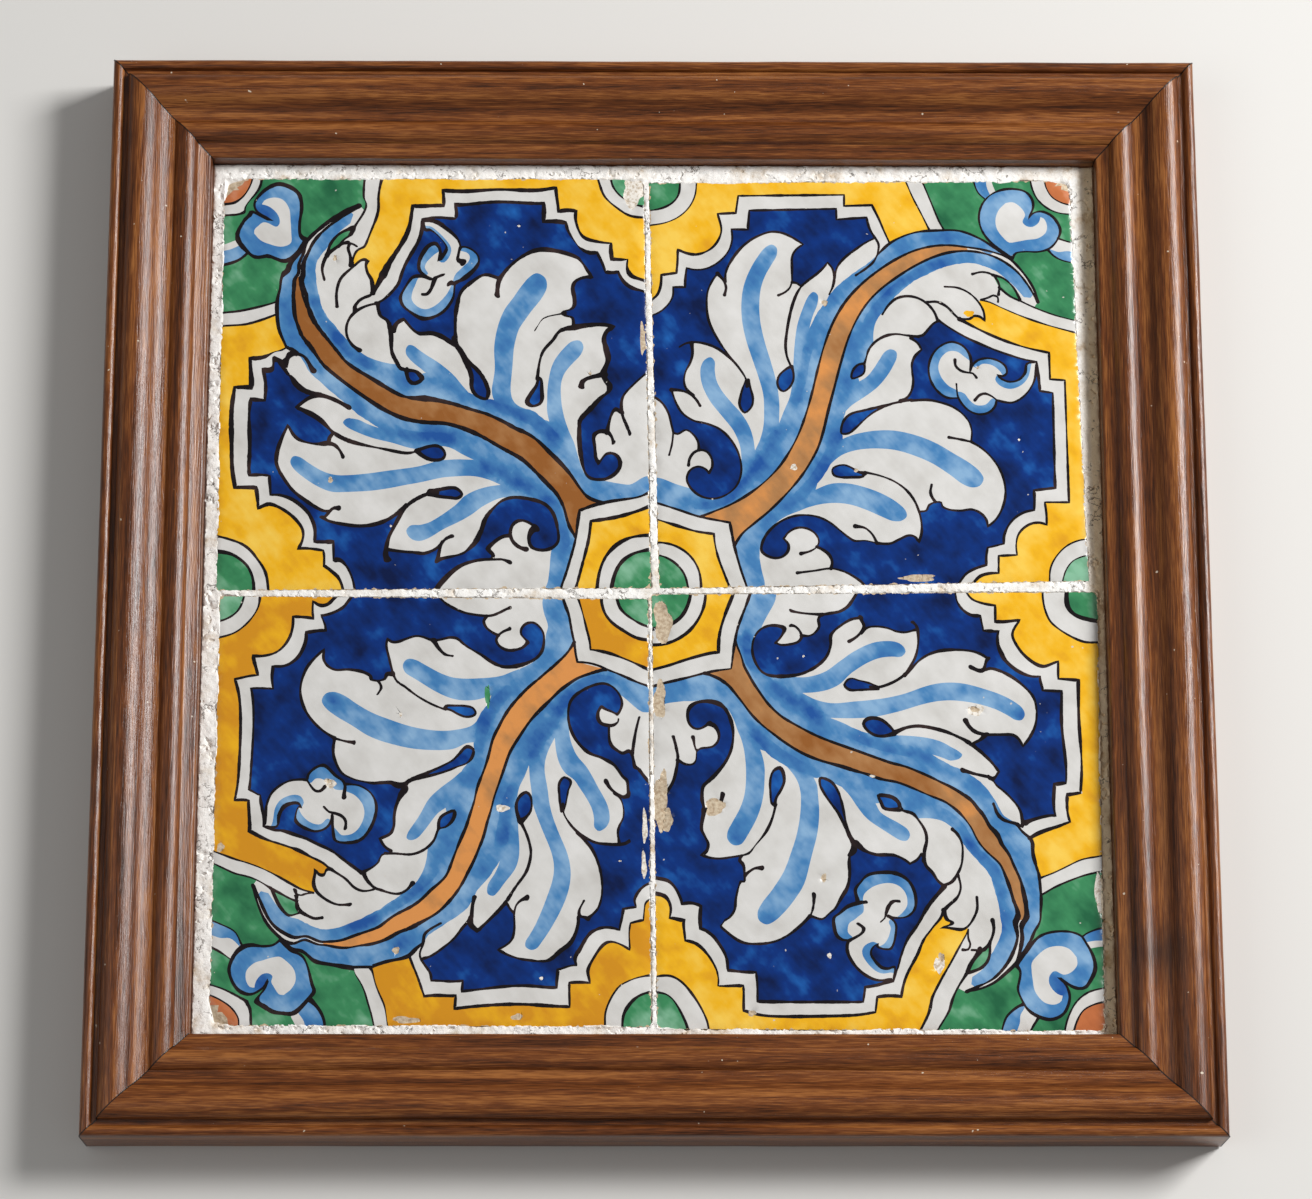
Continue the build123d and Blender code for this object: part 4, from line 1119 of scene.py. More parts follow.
def make_tile(name, settings, materials):
    """One tile: a slab whose face is cut along every painted line, so that each paint is its own faces."""
    rng = np.random.default_rng(100 + TILES.index(name))
    corners = tile_corners(name)
    to_panel = square_to_quad(DESIGN_CORNERS[name], corners)
    bend = hand_drift(name)
    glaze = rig.box(name)[1].z / MM
    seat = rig.box(name)[0].z / MM

    shapes = []
    for paint, tone, line in painted_shapes(name, settings, rng):
        shapes.append((paint, tone, to_panel(bend(line))))
    spots = []
    for paint, x, y, half_width, half_height in WEAR[name]:
        spot = to_panel(worn_spot((x, y), half_width, half_height, rng))
        shapes.append((paint, USUAL_TONE, spot))
        if paint != "yellow":
            spots.append(spot)
    border = tile_outline(corners, rng)
    low, high = border.min(axis=0), border.max(axis=0)
    columns, rows = ((high - low) / FACE_GRID).astype(int)
    grid = np.array([(x, y) for x in range(columns) for y in range(rows)])
    grid = grid + rng.uniform(0.15, 0.85, (columns * rows, 2))
    points = [border]
    edges = ring_edges(0, len(border))
    count = len(border)
    for paint, tone, line in shapes:
        points.append(line)
        edges += ring_edges(count, len(line))
        count += len(line)
    points.append(low + grid * FACE_GRID)
    flat, triangles = triangulate(np.vstack(points), edges)

    centres = flat[triangles].mean(axis=1)
    one = flat[triangles[:, 1]] - flat[triangles[:, 0]]
    two = flat[triangles[:, 2]] - flat[triangles[:, 0]]
    spans = one[:, 0] * two[:, 1] - one[:, 1] * two[:, 0]
    keep = inside(centres, border) & (np.abs(spans) > 1e-7)
    triangles, centres = triangles[keep], centres[keep]
    paints = np.zeros(len(triangles), int)
    tones = np.full(len(triangles), USUAL_TONE)
    for paint, tone, line in shapes:
        covered = inside(centres, line)
        paints[covered] = PAINTS.index(paint)
        tones[covered] = tone
    broken = corner_break(centres, name, corners) + 0.35 * bumps(centres, 4, 9.0) > 0.12
    biscuit = PAINTS.index("biscuit")
    paints[broken] = biscuit

    used, triangles = np.unique(triangles, return_inverse=True)
    triangles = triangles.reshape(-1, 3)
    flat = flat[used]
    rim = edge_distance(flat, corners)
    roll = np.clip(1 - rim / ROLL_WIDTH, 0, 1) ** 2
    waves = settings.undulation / MM * (1 - bumps(flat, 22, 7.0)) / 2
    heights = glaze - GLAZE_DROP - waves - ROLL_DEPTH * roll
    heights -= np.clip(corner_break(flat, name, corners) + 0.25 * bumps(flat, 2.5, 9.0), 0, None)
    for spot in spots:
        sunk = inside(flat, spot)
        heights[sunk] -= PIT_DEPTH + 0.2 * bumps(flat[sunk], 1.3, 4.0)
    rings = ((glaze - GLAZE_SIDE, SIDE_SCALES[0]), (seat, SIDE_SCALES[1]))
    mesh = slab_mesh(name + "_painted", flat, heights, triangles, rings)
    paint_of = np.full(len(mesh.polygons), biscuit)
    paint_of[:len(paints)] = paints
    mesh.polygons.foreach_set("material_index", paint_of)
    tone_of = np.full(len(mesh.loops), USUAL_TONE)
    tone_of[:3 * len(tones)] = smooth_tones(triangles, paints, tones)
    mesh.attributes.new("tone", "FLOAT", "CORNER").data.foreach_set("value", tone_of)
    rim_of = np.zeros(len(mesh.vertices))
    rim_of[:len(rim)] = rim
    mesh.attributes.new("rim", "FLOAT", "POINT").data.foreach_set("value", rim_of)
    return put_in_scene(name + "_painted", mesh, name, "tile_glaze", [materials[p] for p in PAINTS])


# Mortar

# Where the joints cross, in mm from the middle of the panel, and how far they reach from there
JOINT_CROSSING = (-0.8, -1.8)
JOINT_REACH = 199
JOINT_HALF = 8
# Under a tile the fine points end this far in, in mm; the coarse ones go on every so many mm
FINE_REACH = 5.0
COARSE_STEP = 16
# From here to the right the margin lies lower
LOW_MARGIN = 198
LOW_MARGIN_DROP = 0.7
# How deep a crack is and how deep the mortar falls away at the wood, in mm
CRACK_DEPTH = 1.2
WOOD_GAP_DEPTH = 1.5
WOOD_GAP_WIDTH = 1.2
# Past this depth under a tile the bed lies just below the tile's back
BED_REACH = 3.4


def make_mortar(settings, lime):
    """The lime mortar: a rough bed that shows in joints and margins and laps over the tiles' edges."""
    rng = np.random.default_rng(7)
    low, high = (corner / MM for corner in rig.box("mortar_bed"))
    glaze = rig.box(TILES[0])[1].z / MM
    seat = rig.box(TILES[0])[0].z / MM
    quads = [tile_corners(name) for name in TILES]
    fine = settings.grain / MM
    xs = np.arange(low.x, high.x + fine / 2, fine)
    ys = np.arange(low.y, high.y + fine / 2, fine)
    field = np.array(np.meshgrid(xs, ys)).reshape(2, -1).T
    field += rng.uniform(-0.3, 0.3, field.shape) * fine
    field = np.clip(field, (low.x, low.y), (high.x, high.y))
    inner = np.max([edge_distance(field, quad) for quad in quads], axis=0)
    field = field[inner < FINE_REACH]
    steps = range(-200, 201, COARSE_STEP)
    coarse = np.array([(x, y) for x in steps for y in steps], float)
    coarse = coarse[np.max([edge_distance(coarse, quad) for quad in quads], axis=0) > FINE_REACH + 2]
    sides = []
    for x, y in ((0, 0), (1, 0), (1, 1), (0, 1)):
        sides.append((low.x + (high.x - low.x) * x, low.y + (high.y - low.y) * y))
    flat, triangles = triangulate(np.vstack([sides, field, coarse]), ring_edges(0, 4))
    depth = np.max([edge_distance(flat, quad) for quad in quads], axis=0)

    slow = bumps(flat, 9, 1.0)
    quick = bumps(flat, 2.6, 2.0)
    grit = bumps(flat, 1.1, 3.0)
    right = np.clip((flat[:, 0] - LOW_MARGIN) / 3, 0, 1)
    surface = glaze - 0.5 - LOW_MARGIN_DROP * right + 0.55 * slow + 0.35 * quick + 0.22 * grit
    from_crossing = np.abs(flat - np.array(JOINT_CROSSING))
    joint = (from_crossing.max(axis=1) < JOINT_REACH) & (from_crossing.min(axis=1) < JOINT_HALF)
    surface = np.where(joint, glaze - 0.15 + 0.25 * slow + 0.2 * quick + 0.1 * grit, surface)
    wall = np.minimum(np.minimum(flat[:, 0] - low.x, high.x - flat[:, 0]),
                      np.minimum(flat[:, 1] - low.y, high.y - flat[:, 1]))
    surface -= WOOD_GAP_DEPTH * np.clip(1 - wall / WOOD_GAP_WIDTH, 0, 1) ** 2
    lap = np.where(joint, 0.3 + 0.3 * quick, 0.8 + 1.4 * bumps(flat, 13, 5.0) + 0.6 * quick)
    over = glaze + 0.15 + 0.12 * quick - 0.9 * np.clip(depth, 0, None) / np.maximum(lap, 0.15)
    cracks = np.clip(np.abs(bumps(flat, 7, 11.0)) / 0.05, 0, 1)
    surface -= CRACK_DEPTH * (1 - cracks) * (bumps(flat, 20, 12.0) > 0)
    heights = np.where(depth > 0, np.minimum(over, glaze + 0.3), np.maximum(surface, glaze - 4))
    heights = np.where(depth > BED_REACH, seat - 0.05, np.maximum(heights, seat))
    mesh = slab_mesh("mortar", flat, heights, triangles, ((low.z, 1.0),))
    return put_in_scene("mortar", mesh, "mortar_bed", "lime_mortar", [lime])


# Frame

RAIL_TURNS = {"frame_bottom": 0, "frame_right": 90, "frame_top": 180, "frame_left": 270}


def section_outline():
    """The moulded section as a rail's mitred end shows it, outwards from the sight edge and up, in m."""
    mesh = frame["nodes"]["frame_bottom"].data
    half = -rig.box("frame_bottom")[1].y
    ways = set()
    for face in mesh.polygons:
        corners = [mesh.vertices[v].co for v in face.vertices]
        if all(c.x < 0 and abs(c.x - c.y) < 1e-5 for c in corners):
            keys = [(round(-c.y - half, 6), round(c.z, 6)) for c in corners]
            ways |= {(keys[i], keys[(i + 1) % 3]) for i in range(3)}
    onward = {a: b for a, b in ways if (b, a) not in ways}
    start = min(onward, key=lambda p: (p[1], p[0]))
    loop = [start]
    while onward[loop[-1]] != start:
        loop.append(onward[loop[-1]])
    return loop, half


def section_object(loop):
    """A ring of edges for Geometry Nodes to run along the rail."""
    mesh = bpy.data.meshes.new("rail_section")
    mesh.from_pydata([(w, z, 0) for w, z in loop], ring_edges(0, len(loop)), [])
    return mesh


def rail_tree():
    """Geometry Nodes that run a section along a rail, mitre and dent it, and turn it to its side."""
    tree = bpy.data.node_groups.new("moulded_rail", "GeometryNodeTree")
    sockets = tree.interface
    sockets.new_socket("Section", in_out="INPUT", socket_type="NodeSocketGeometry")
    for name, kind in (("Half opening", "NodeSocketFloat"), ("Cuts", "NodeSocketInt"),
                       ("Height", "NodeSocketFloat"), ("Unevenness", "NodeSocketFloat"),
                       ("Seed", "NodeSocketInt"), ("Turn", "NodeSocketFloat"),
                       ("Wood", "NodeSocketMaterial")):
        sockets.new_socket(name, in_out="INPUT", socket_type=kind)
    sockets.new_socket("Rail", in_out="OUTPUT", socket_type="NodeSocketGeometry")
    given = add_node(tree, "NodeGroupInput").outputs
    profile = add_node(tree, "GeometryNodeMeshToCurve", inputs={"Mesh": given["Section"]})
    place = add_node(tree, "GeometryNodeInputPosition")
    around = add_node(tree, "GeometryNodeSplineParameter")
    keep = add_node(tree, "GeometryNodeCaptureAttribute", {"domain": "POINT"})
    keep.capture_items.new("VECTOR", "Place")
    keep.capture_items.new("FLOAT", "Round")
    tree.links.new(profile.outputs[0], keep.inputs["Geometry"])
    tree.links.new(place.outputs[0], keep.inputs["Place"])
    tree.links.new(around.outputs["Length"], keep.inputs["Round"])
    line = add_node(tree, "GeometryNodeCurvePrimitiveLine", inputs={"Start": (-1, 0, 0), "End": (1, 0, 0)})
    route = add_node(tree, "GeometryNodeResampleCurve", inputs={
        "Curve": line.outputs[0], "Count": given["Cuts"]})
    swept = add_node(tree, "GeometryNodeCurveToMesh", inputs={
        "Curve": route.outputs[0], "Profile Curve": keep.outputs["Geometry"], "Fill Caps": True})

    def math_node(operation, first, second=0.0):
        return calculate(tree, operation, first, second)

    now = add_node(tree, "ShaderNodeSeparateXYZ", inputs={0: place.outputs[0]}).outputs
    cut = add_node(tree, "ShaderNodeSeparateXYZ", inputs={0: keep.outputs["Place"]}).outputs
    distance = math_node("ADD", given["Half opening"], cut["X"])
    along = math_node("MULTIPLY", now["X"], distance)
    where = add_node(tree, "ShaderNodeCombineXYZ", inputs={
        "X": along, "Y": math_node("MULTIPLY", cut["X"], 3.0),
        "Z": math_node("ADD", math_node("MULTIPLY", cut["Y"], 3.0), given["Seed"])})
    wave = add_node(tree, "ShaderNodeTexNoise", inputs={
        "Vector": where.outputs[0], "Scale": 22.0, "Detail": 3.0})
    dent = math_node("MULTIPLY", wave.outputs[0], given["Unevenness"])
    high = math_node("DIVIDE", cut["Y"], given["Height"])
    lowered = math_node("SUBTRACT", cut["Y"], math_node("MULTIPLY", dent, high))
    pulled = math_node("SUBTRACT", distance, dent)
    flat = add_node(tree, "ShaderNodeCombineXYZ", inputs={
        "X": along, "Y": math_node("MULTIPLY", pulled, -1.0), "Z": lowered})
    turned = add_node(tree, "ShaderNodeVectorRotate", {"rotation_type": "Z_AXIS"}, {
        "Vector": flat.outputs[0], "Angle": given["Turn"]})
    run = add_node(tree, "ShaderNodeCombineXYZ", inputs={
        "X": math_node("ADD", along, math_node("MULTIPLY", given["Seed"], 1.7)), "Y": keep.outputs["Round"]})
    marked = add_node(tree, "GeometryNodeStoreNamedAttribute", {"data_type": "FLOAT2", "domain": "CORNER"}, {
        "Geometry": swept.outputs[0], "Name": "UVMap", "Value": run.outputs[0]})
    to_end = math_node("MULTIPLY", distance, math_node("SUBTRACT", 1.0, math_node("ABSOLUTE", now["X"])))
    measured = add_node(tree, "GeometryNodeStoreNamedAttribute", {"data_type": "FLOAT", "domain": "POINT"}, {
        "Geometry": marked.outputs[0], "Name": "mitre", "Value": to_end})
    shaped = add_node(tree, "GeometryNodeSetPosition", inputs={
        "Geometry": measured.outputs[0], "Position": turned.outputs[0]})
    real = add_node(tree, "GeometryNodeRealizeInstances", inputs={"Geometry": shaped.outputs[0]})
    dressed = add_node(tree, "GeometryNodeSetMaterial", inputs={
        "Geometry": real.outputs[0], "Material": given["Wood"]})
    add_node(tree, "NodeGroupOutput", inputs={"Rail": dressed.outputs[0]})
    return tree


def run_nodes(carrier, tree, values):
    """The plain mesh that a tree makes from the carrier, with inputs given by name."""
    modifier = carrier.modifiers.new("nodes", "NODES")
    modifier.node_group = tree
    ids = {item.name: item.identifier for item in tree.interface.items_tree if item.item_type == "SOCKET"}
    for name, value in values.items():
        modifier[ids[name]] = value
    depsgraph = bpy.context.evaluated_depsgraph_get()
    depsgraph.update()
    mesh = bpy.data.meshes.new_from_object(carrier.evaluated_get(depsgraph))
    carrier.modifiers.clear()
    return mesh


def make_rail(node, tree, loop, half, settings, wood):
    """One moulded rail, run along its side and mitred."""
    name = node + "_moulded"
    carrier = bpy.data.objects.new(name, section_object(loop))
    bpy.context.scene.collection.objects.link(carrier)
    mesh = run_nodes(carrier, tree, {
        "Half opening": half, "Cuts": settings.rail_cuts, "Height": max(z for w, z in loop),
        "Unevenness": settings.unevenness, "Seed": RAILS.index(node) + 1,
        "Turn": math.radians(RAIL_TURNS[node]), "Wood": wood})
    bpy.data.objects.remove(carrier)
    shell = bmesh.new()
    shell.from_mesh(mesh)
    bmesh.ops.remove_doubles(shell, verts=shell.verts, dist=1e-6)
    bmesh.ops.recalc_face_normals(shell, faces=shell.faces)
    shell.to_mesh(mesh)
    shell.free()
    mesh.shade_smooth()
    mesh.set_sharp_from_angle(angle=RAIL_CREASE)
    mesh.materials.clear()
    return put_in_scene(name, mesh, node, "frame_wood", [wood])


# Materials


def srgb(code):
    """A colour written as sRGB hex, as the linear colour that sockets take."""
    values = [int(code[i:i + 2], 16) / 255 for i in (0, 2, 4)]
    return tuple(v / 12.92 if v <= 0.04045 else ((v + 0.055) / 1.055) ** 2.4 for v in values) + (1.0,)


def add_node(tree, kind, settings=None, inputs=None, stops=None):
    """Adds a node with its settings, its inputs as values or links, and the stops of a ramp."""
    node = tree.nodes.new(kind)
    for name, value in (settings or {}).items():
        setattr(node, name, value)
    for key, value in (inputs or {}).items():
        if isinstance(value, bpy.types.NodeSocket):
            tree.links.new(value, node.inputs[key])
        else:
            node.inputs[key].default_value = value
    if stops:
        elements = node.color_ramp.elements
        while len(elements) < len(stops):
            elements.new(0.5)
        for element, (position, colour) in zip(elements, stops):
            element.position = position
            element.color = colour if isinstance(colour, tuple) else (colour, colour, colour, 1.0)
    return node


def new_material(name):
    """An empty node material: (material, tree)."""
    material = bpy.data.materials.new(name)
    material.use_nodes = True
    material.node_tree.nodes.clear()
    return material, material.node_tree


def per_mm(size):
    """The scale of a pattern on Object coordinates whose features are that many mm apart."""
    return 1 / (size * MM)


def mottle(tree, place, size, detail):
    """Noise whose blotches are about that many mm apart."""
    return add_node(tree, "ShaderNodeTexNoise", inputs={
        "Vector": place, "Scale": per_mm(size), "Detail": detail}).outputs[0]


def ramp(tree, value, stops):
    """Colours or greys that follow a value from stop to stop."""
    return add_node(tree, "ShaderNodeValToRGB", inputs={0: value}, stops=stops).outputs[0]


def blend(tree, share, under, over):
    """A colour laid over another by a share from 0 to 1."""
    return add_node(tree, "ShaderNodeMix", {"data_type": "RGBA"}, {0: share, 6: under, 7: over}).outputs[2]


def calculate(tree, operation, *values):
    """What a Math node makes of its values."""
    node = add_node(tree, "ShaderNodeMath", {"operation": operation}, dict(enumerate(values)))
    return node.outputs[0]


# Each paint's name and its colours where it lies thin, at its usual strength and where it pooled
PAINT_COLOURS = {
    "white": ("tin_glaze_white", ("dcdad7", "d2d0cc", "c4c1bc")),
    "blue": ("cobalt_wash_on_tin_glaze", ("86acce", "457eb2", "1f5299")),
    "cobalt": ("cobalt_blue_on_tin_glaze", ("1d62b0", "022f78", "011542")),
    "yellow": ("antimony_yellow_on_tin_glaze", ("f2c852", "ebb11d", "cf8d1c")),
    "green": ("copper_green_on_tin_glaze", ("84b898", "3c8759", "20603f")),
    "rust": ("iron_red_on_tin_glaze", ("d09070", "be6e41", "a45a34")),
    "stem": ("iron_brown_on_tin_glaze", ("d8904e", "ab7a4c", "925a29")),
    "ink": ("manganese_ink_on_tin_glaze", ("3a2a28", "140d10", "090608")),
}


def glaze_material(paint):
    """Painted tin glaze, brushed on raw glaze and fired: a glossy, wavy skin with its paint in patches."""
    name, colours = PAINT_COLOURS[paint]
    material, tree = new_material(name)
    place = add_node(tree, "ShaderNodeTexCoord").outputs["Object"]
    tone = add_node(tree, "ShaderNodeAttribute", {"attribute_name": "tone"}).outputs["Fac"]
    patches = mottle(tree, place, 16, 3.0)
    streaks = add_node(tree, "ShaderNodeMapping", {"vector_type": "TEXTURE"}, {
        "Vector": place, "Rotation": (0, 0, 0.7), "Scale": (3.5 * MM, 12 * MM, 1)})
    brush = add_node(tree, "ShaderNodeTexNoise", inputs={
        "Vector": streaks.outputs[0], "Scale": 1.0, "Detail": 2.0})
    both = calculate(tree, "MULTIPLY_ADD", patches, 1.6, -0.8)
    with_brush = calculate(tree, "MULTIPLY_ADD", brush.outputs[0], 0.45, -0.225)
    total = calculate(tree, "ADD", both, with_brush)
    load = calculate(tree, "ADD", total, tone)
    coat = ramp(tree, load, [
        (0.1, srgb(colours[0])), (0.5, srgb(colours[1])), (0.95, srgb(colours[2]))])
    # Pinholes are drawn a little larger than real ones, so that they show
    specks = mottle(tree, place, 2.6, 1.0)
    holes = ramp(tree, specks, [(0.79, 0.0), (0.82, 0.8)])
    pitted = blend(tree, holes, coat, srgb("cfc9c0"))
    rim = add_node(tree, "ShaderNodeAttribute", {"attribute_name": "rim"}).outputs["Fac"]
    ragged = mottle(tree, place, 3.5, 4.0)
    reach = calculate(tree, "MULTIPLY_ADD", ragged, 5.0, -2.3)
    worn = calculate(tree, "LESS_THAN", rim, reach)
    colour = blend(tree, worn, pitted, srgb("c4ae90"))
    swell = mottle(tree, place, 9, 2.0)
    skin = add_node(tree, "ShaderNodeBump", inputs={
        "Height": swell, "Strength": 0.25, "Distance": 0.6 * MM})
    shader = add_node(tree, "ShaderNodeBsdfPrincipled", inputs={
        "Base Color": colour, "Roughness": 0.22, "IOR": 1.45, "Normal": skin.outputs[0]})
    add_node(tree, "ShaderNodeOutputMaterial", inputs={"Surface": shader.outputs[0]})
    return material


def biscuit_material():
    """Bare fired clay where the glaze broke off: matt, sandy buff."""
    material, tree = new_material("biscuit_clay")
    place = add_node(tree, "ShaderNodeTexCoord").outputs["Object"]
    grains = mottle(tree, place, 1.6, 4.0)
    coat = ramp(tree, grains, [(0.35, srgb("ab9479")), (0.6, srgb("cdbca2"))])
    skin = add_node(tree, "ShaderNodeBump", inputs={
        "Height": grains, "Strength": 0.6, "Distance": 0.4 * MM})
    shader = add_node(tree, "ShaderNodeBsdfPrincipled", inputs={
        "Base Color": coat, "Roughness": 0.9, "Normal": skin.outputs[0]})
    add_node(tree, "ShaderNodeOutputMaterial", inputs={"Surface": shader.outputs[0]})
    return material


def chalk_material():
    """Lime that filled a pit in the glaze: matt white."""
    material, tree = new_material("lime_in_pits")
    place = add_node(tree, "ShaderNodeTexCoord").outputs["Object"]
    grains = mottle(tree, place, 1.2, 4.0)
    coat = ramp(tree, grains, [(0.35, srgb("b9a892")), (0.55, srgb("e6e0d6"))])
    shader = add_node(tree, "ShaderNodeBsdfPrincipled", inputs={
        "Base Color": coat, "Roughness": 0.9})
    add_node(tree, "ShaderNodeOutputMaterial", inputs={"Surface": shader.outputs[0]})
    return material


def mortar_material():
    """Old white lime mortar, trowelled rough: matt, with buff patches and dark grit in its pits."""
    material, tree = new_material("lime_mortar_trowelled")
    place = add_node(tree, "ShaderNodeTexCoord").outputs["Object"]
    patches = add_node(tree, "ShaderNodeTexNoise", inputs={
        "Vector": place, "Scale": per_mm(14), "Detail": 5.0, "Roughness": 0.65})
    coat = ramp(tree, patches.outputs[0], [
        (0.3, srgb("c4ae92")), (0.4, srgb("e9e2d8")), (0.5, srgb("f7f4ef"))])
    side = add_node(tree, "ShaderNodeSeparateXYZ", inputs={0: place}).outputs["X"]
    lower = add_node(tree, "ShaderNodeMapRange", inputs={0: side, 1: 198 * MM, 2: 203 * MM})
    toned = add_node(tree, "ShaderNodeMix", {"data_type": "RGBA", "blend_type": "MULTIPLY"}, {
        0: lower.outputs[0], 6: coat, 7: srgb("f9e3c0")})
    grit = add_node(tree, "ShaderNodeTexNoise", inputs={"Vector": place, "Scale": per_mm(2.2), "Detail": 5.0,
                                                        "Roughness": 0.7})
    dark = ramp(tree, grit.outputs[0], [(0.31, 0.9), (0.37, 0.0)])
    wander = add_node(tree, "ShaderNodeTexNoise", inputs={"Vector": place, "Scale": per_mm(11), "Detail": 6.0,
                                                          "Roughness": 0.6})
    crack = ramp(tree, wander.outputs[0], [(0.452, 0.0), (0.464, 0.9), (0.47, 0.9), (0.482, 0.0)])
    broken = add_node(tree, "ShaderNodeMapRange", inputs={0: patches.outputs[0], 1: 0.5, 2: 0.56})
    part = calculate(tree, "MULTIPLY", broken.outputs[0], crack)
    spoiled = calculate(tree, "MAXIMUM", dark, part)
    soiled = blend(tree, spoiled, toned.outputs[2], srgb("46372b"))
    skin = add_node(tree, "ShaderNodeBump", inputs={
        "Height": grit.outputs[0], "Strength": 0.7, "Distance": 0.8 * MM})
    shader = add_node(tree, "ShaderNodeBsdfPrincipled", inputs={
        "Base Color": soiled, "Roughness": 0.95, "Normal": skin.outputs[0]})
    add_node(tree, "ShaderNodeOutputMaterial", inputs={"Surface": shader.outputs[0]})
    return material


def rail_material():
    """Stained pine, planed to a moulding and varnished: brown grain along the rail, a knot, small nicks."""
    material, tree = new_material("stained_pine_satin_varnish")
    run = add_node(tree, "ShaderNodeUVMap", {"uv_map": "UVMap"}).outputs[0]
    place = add_node(tree, "ShaderNodeTexCoord").outputs["Object"]

    def streaks(along, across, detail, offset):
        spread = add_node(tree, "ShaderNodeMapping", inputs={
            "Vector": run, "Location": (offset, offset, offset), "Scale": (per_mm(along), per_mm(across), 1)})
        return add_node(tree, "ShaderNodeTexNoise", inputs={
            "Vector": spread.outputs[0], "Scale": 1.0, "Detail": detail, "Roughness": 0.6, "Distortion": 0.3})

    # Pine's fibres are finer than this: they are drawn as coarse as they need to show
    figure = streaks(160, 5.5, 5.0, 0.0)
    fibre = streaks(13, 0.7, 4.0, 5.0)
    both = calculate(tree, "MULTIPLY_ADD", fibre.outputs[0], 0.8, -0.4)
    load = calculate(tree, "ADD", figure.outputs[0], both)
    coat = ramp(tree, load, [
        (0.28, srgb("381b0a")), (0.5, srgb("6b3917")), (0.72, srgb("9c6230"))])
    from_knot = add_node(tree, "ShaderNodeVectorMath", {"operation": "SUBTRACT"}, {
        0: place, 1: (0.2245, -0.1703, 0.034)})
    squeezed = add_node(tree, "ShaderNodeVectorMath", {"operation": "MULTIPLY"}, {
        0: from_knot.outputs[0], 1: (0.65, 0.8, 0.3)})
    knot_reach = add_node(tree, "ShaderNodeVectorMath", {"operation": "LENGTH"}, {0: squeezed.outputs[0]})
    knot = add_node(tree, "ShaderNodeMapRange", inputs={
        0: knot_reach.outputs["Value"], 1: 1.0 * MM, 2: 13 * MM, 3: 0.75, 4: 0.0})
    stained = blend(tree, knot.outputs[0], coat, srgb("2c1810"))
    nicks = mottle(tree, place, 3.2, 1.0)
    bare = ramp(tree, nicks, [(0.79, 0.0), (0.81, 0.85)])
    nicked = blend(tree, bare, stained, srgb("d9ccb6"))
    mitre = add_node(tree, "ShaderNodeAttribute", {"attribute_name": "mitre"}).outputs["Fac"]
    gap = calculate(tree, "LESS_THAN", mitre, 0.65 * MM)
    jointed = blend(tree, gap, nicked, srgb("1c110b"))
    skin = add_node(tree, "ShaderNodeBump", inputs={
        "Height": fibre.outputs[0], "Strength": 0.5, "Distance": 0.4 * MM})
    shader = add_node(tree, "ShaderNodeBsdfPrincipled", inputs={
        "Base Color": jointed, "Roughness": 0.28, "IOR": 1.45, "Normal": skin.outputs[0]})
    add_node(tree, "ShaderNodeOutputMaterial", inputs={"Surface": shader.outputs[0]})
    return material


def board_material():
    """A bare softwood board, sawn and left raw: matt, pale brown, with straight grain."""
    material, tree = new_material("bare_softwood_board")
    place = add_node(tree, "ShaderNodeTexCoord").outputs["Object"]
    bands = add_node(tree, "ShaderNodeMapping", inputs={
        "Vector": place, "Scale": (per_mm(8), per_mm(180), per_mm(30))})
    figure = add_node(tree, "ShaderNodeTexNoise", inputs={
        "Vector": bands.outputs[0], "Scale": 1.0, "Detail": 4.0, "Distortion": 0.3})
    coat = ramp(tree, figure.outputs[0], [
        (0.3, srgb("8c6a48")), (0.55, srgb("ab8a64")), (0.8, srgb("bd9d76"))])
    skin = add_node(tree, "ShaderNodeBump", inputs={
        "Height": figure.outputs[0], "Strength": 0.3, "Distance": 0.4 * MM})
    shader = add_node(tree, "ShaderNodeBsdfPrincipled", inputs={
        "Base Color": coat, "Roughness": 0.8, "Normal": skin.outputs[0]})
    add_node(tree, "ShaderNodeOutputMaterial", inputs={"Surface": shader.outputs[0]})
    return material


def floor_material():
    """A plain pale studio floor."""
    material, tree = new_material("studio_floor")
    shader = add_node(tree, "ShaderNodeBsdfPrincipled", inputs={
        "Base Color": srgb("d9d7d3"), "Roughness": 0.9})
    add_node(tree, "ShaderNodeOutputMaterial", inputs={"Surface": shader.outputs[0]})
    return material


# Settings


class TilePanelTiles(bpy.types.PropertyGroup):
    """What a user may change on the tiles."""
    ink_line: bpy.props.FloatProperty(
        name="Ink line", description="Width of the main ink lines", default=1.25 * MM, min=0.2 * MM,
        max=4 * MM,
        subtype="DISTANCE", unit="LENGTH", precision=5)
    thin_line: bpy.props.FloatProperty(
        name="Thin line", description="Width of the thin ink lines", default=0.85 * MM, min=0.2 * MM,
        max=4 * MM,
        subtype="DISTANCE", unit="LENGTH", precision=5)
    ink_load: bpy.props.FloatVectorProperty(
        name="Ink load", description="How heavy the ink lies on each tile", size=4,
        default=(1.4, 0.95, 1.1, 1.1),
        min=0.5, max=2.0)
    undulation: bpy.props.FloatProperty(
        name="Undulation", description="Height of the waves of the glaze", default=0.14 * MM, min=0,
        max=1 * MM,
        subtype="DISTANCE", unit="LENGTH", precision=5)


class TilePanelMortar(bpy.types.PropertyGroup):
    """What a user may change on the mortar."""
    grain: bpy.props.FloatProperty(
        name="Grain", description="Distance between the points of the rough surface", default=0.95 * MM,
        min=0.5 * MM, max=5 * MM, subtype="DISTANCE", unit="LENGTH", precision=5)


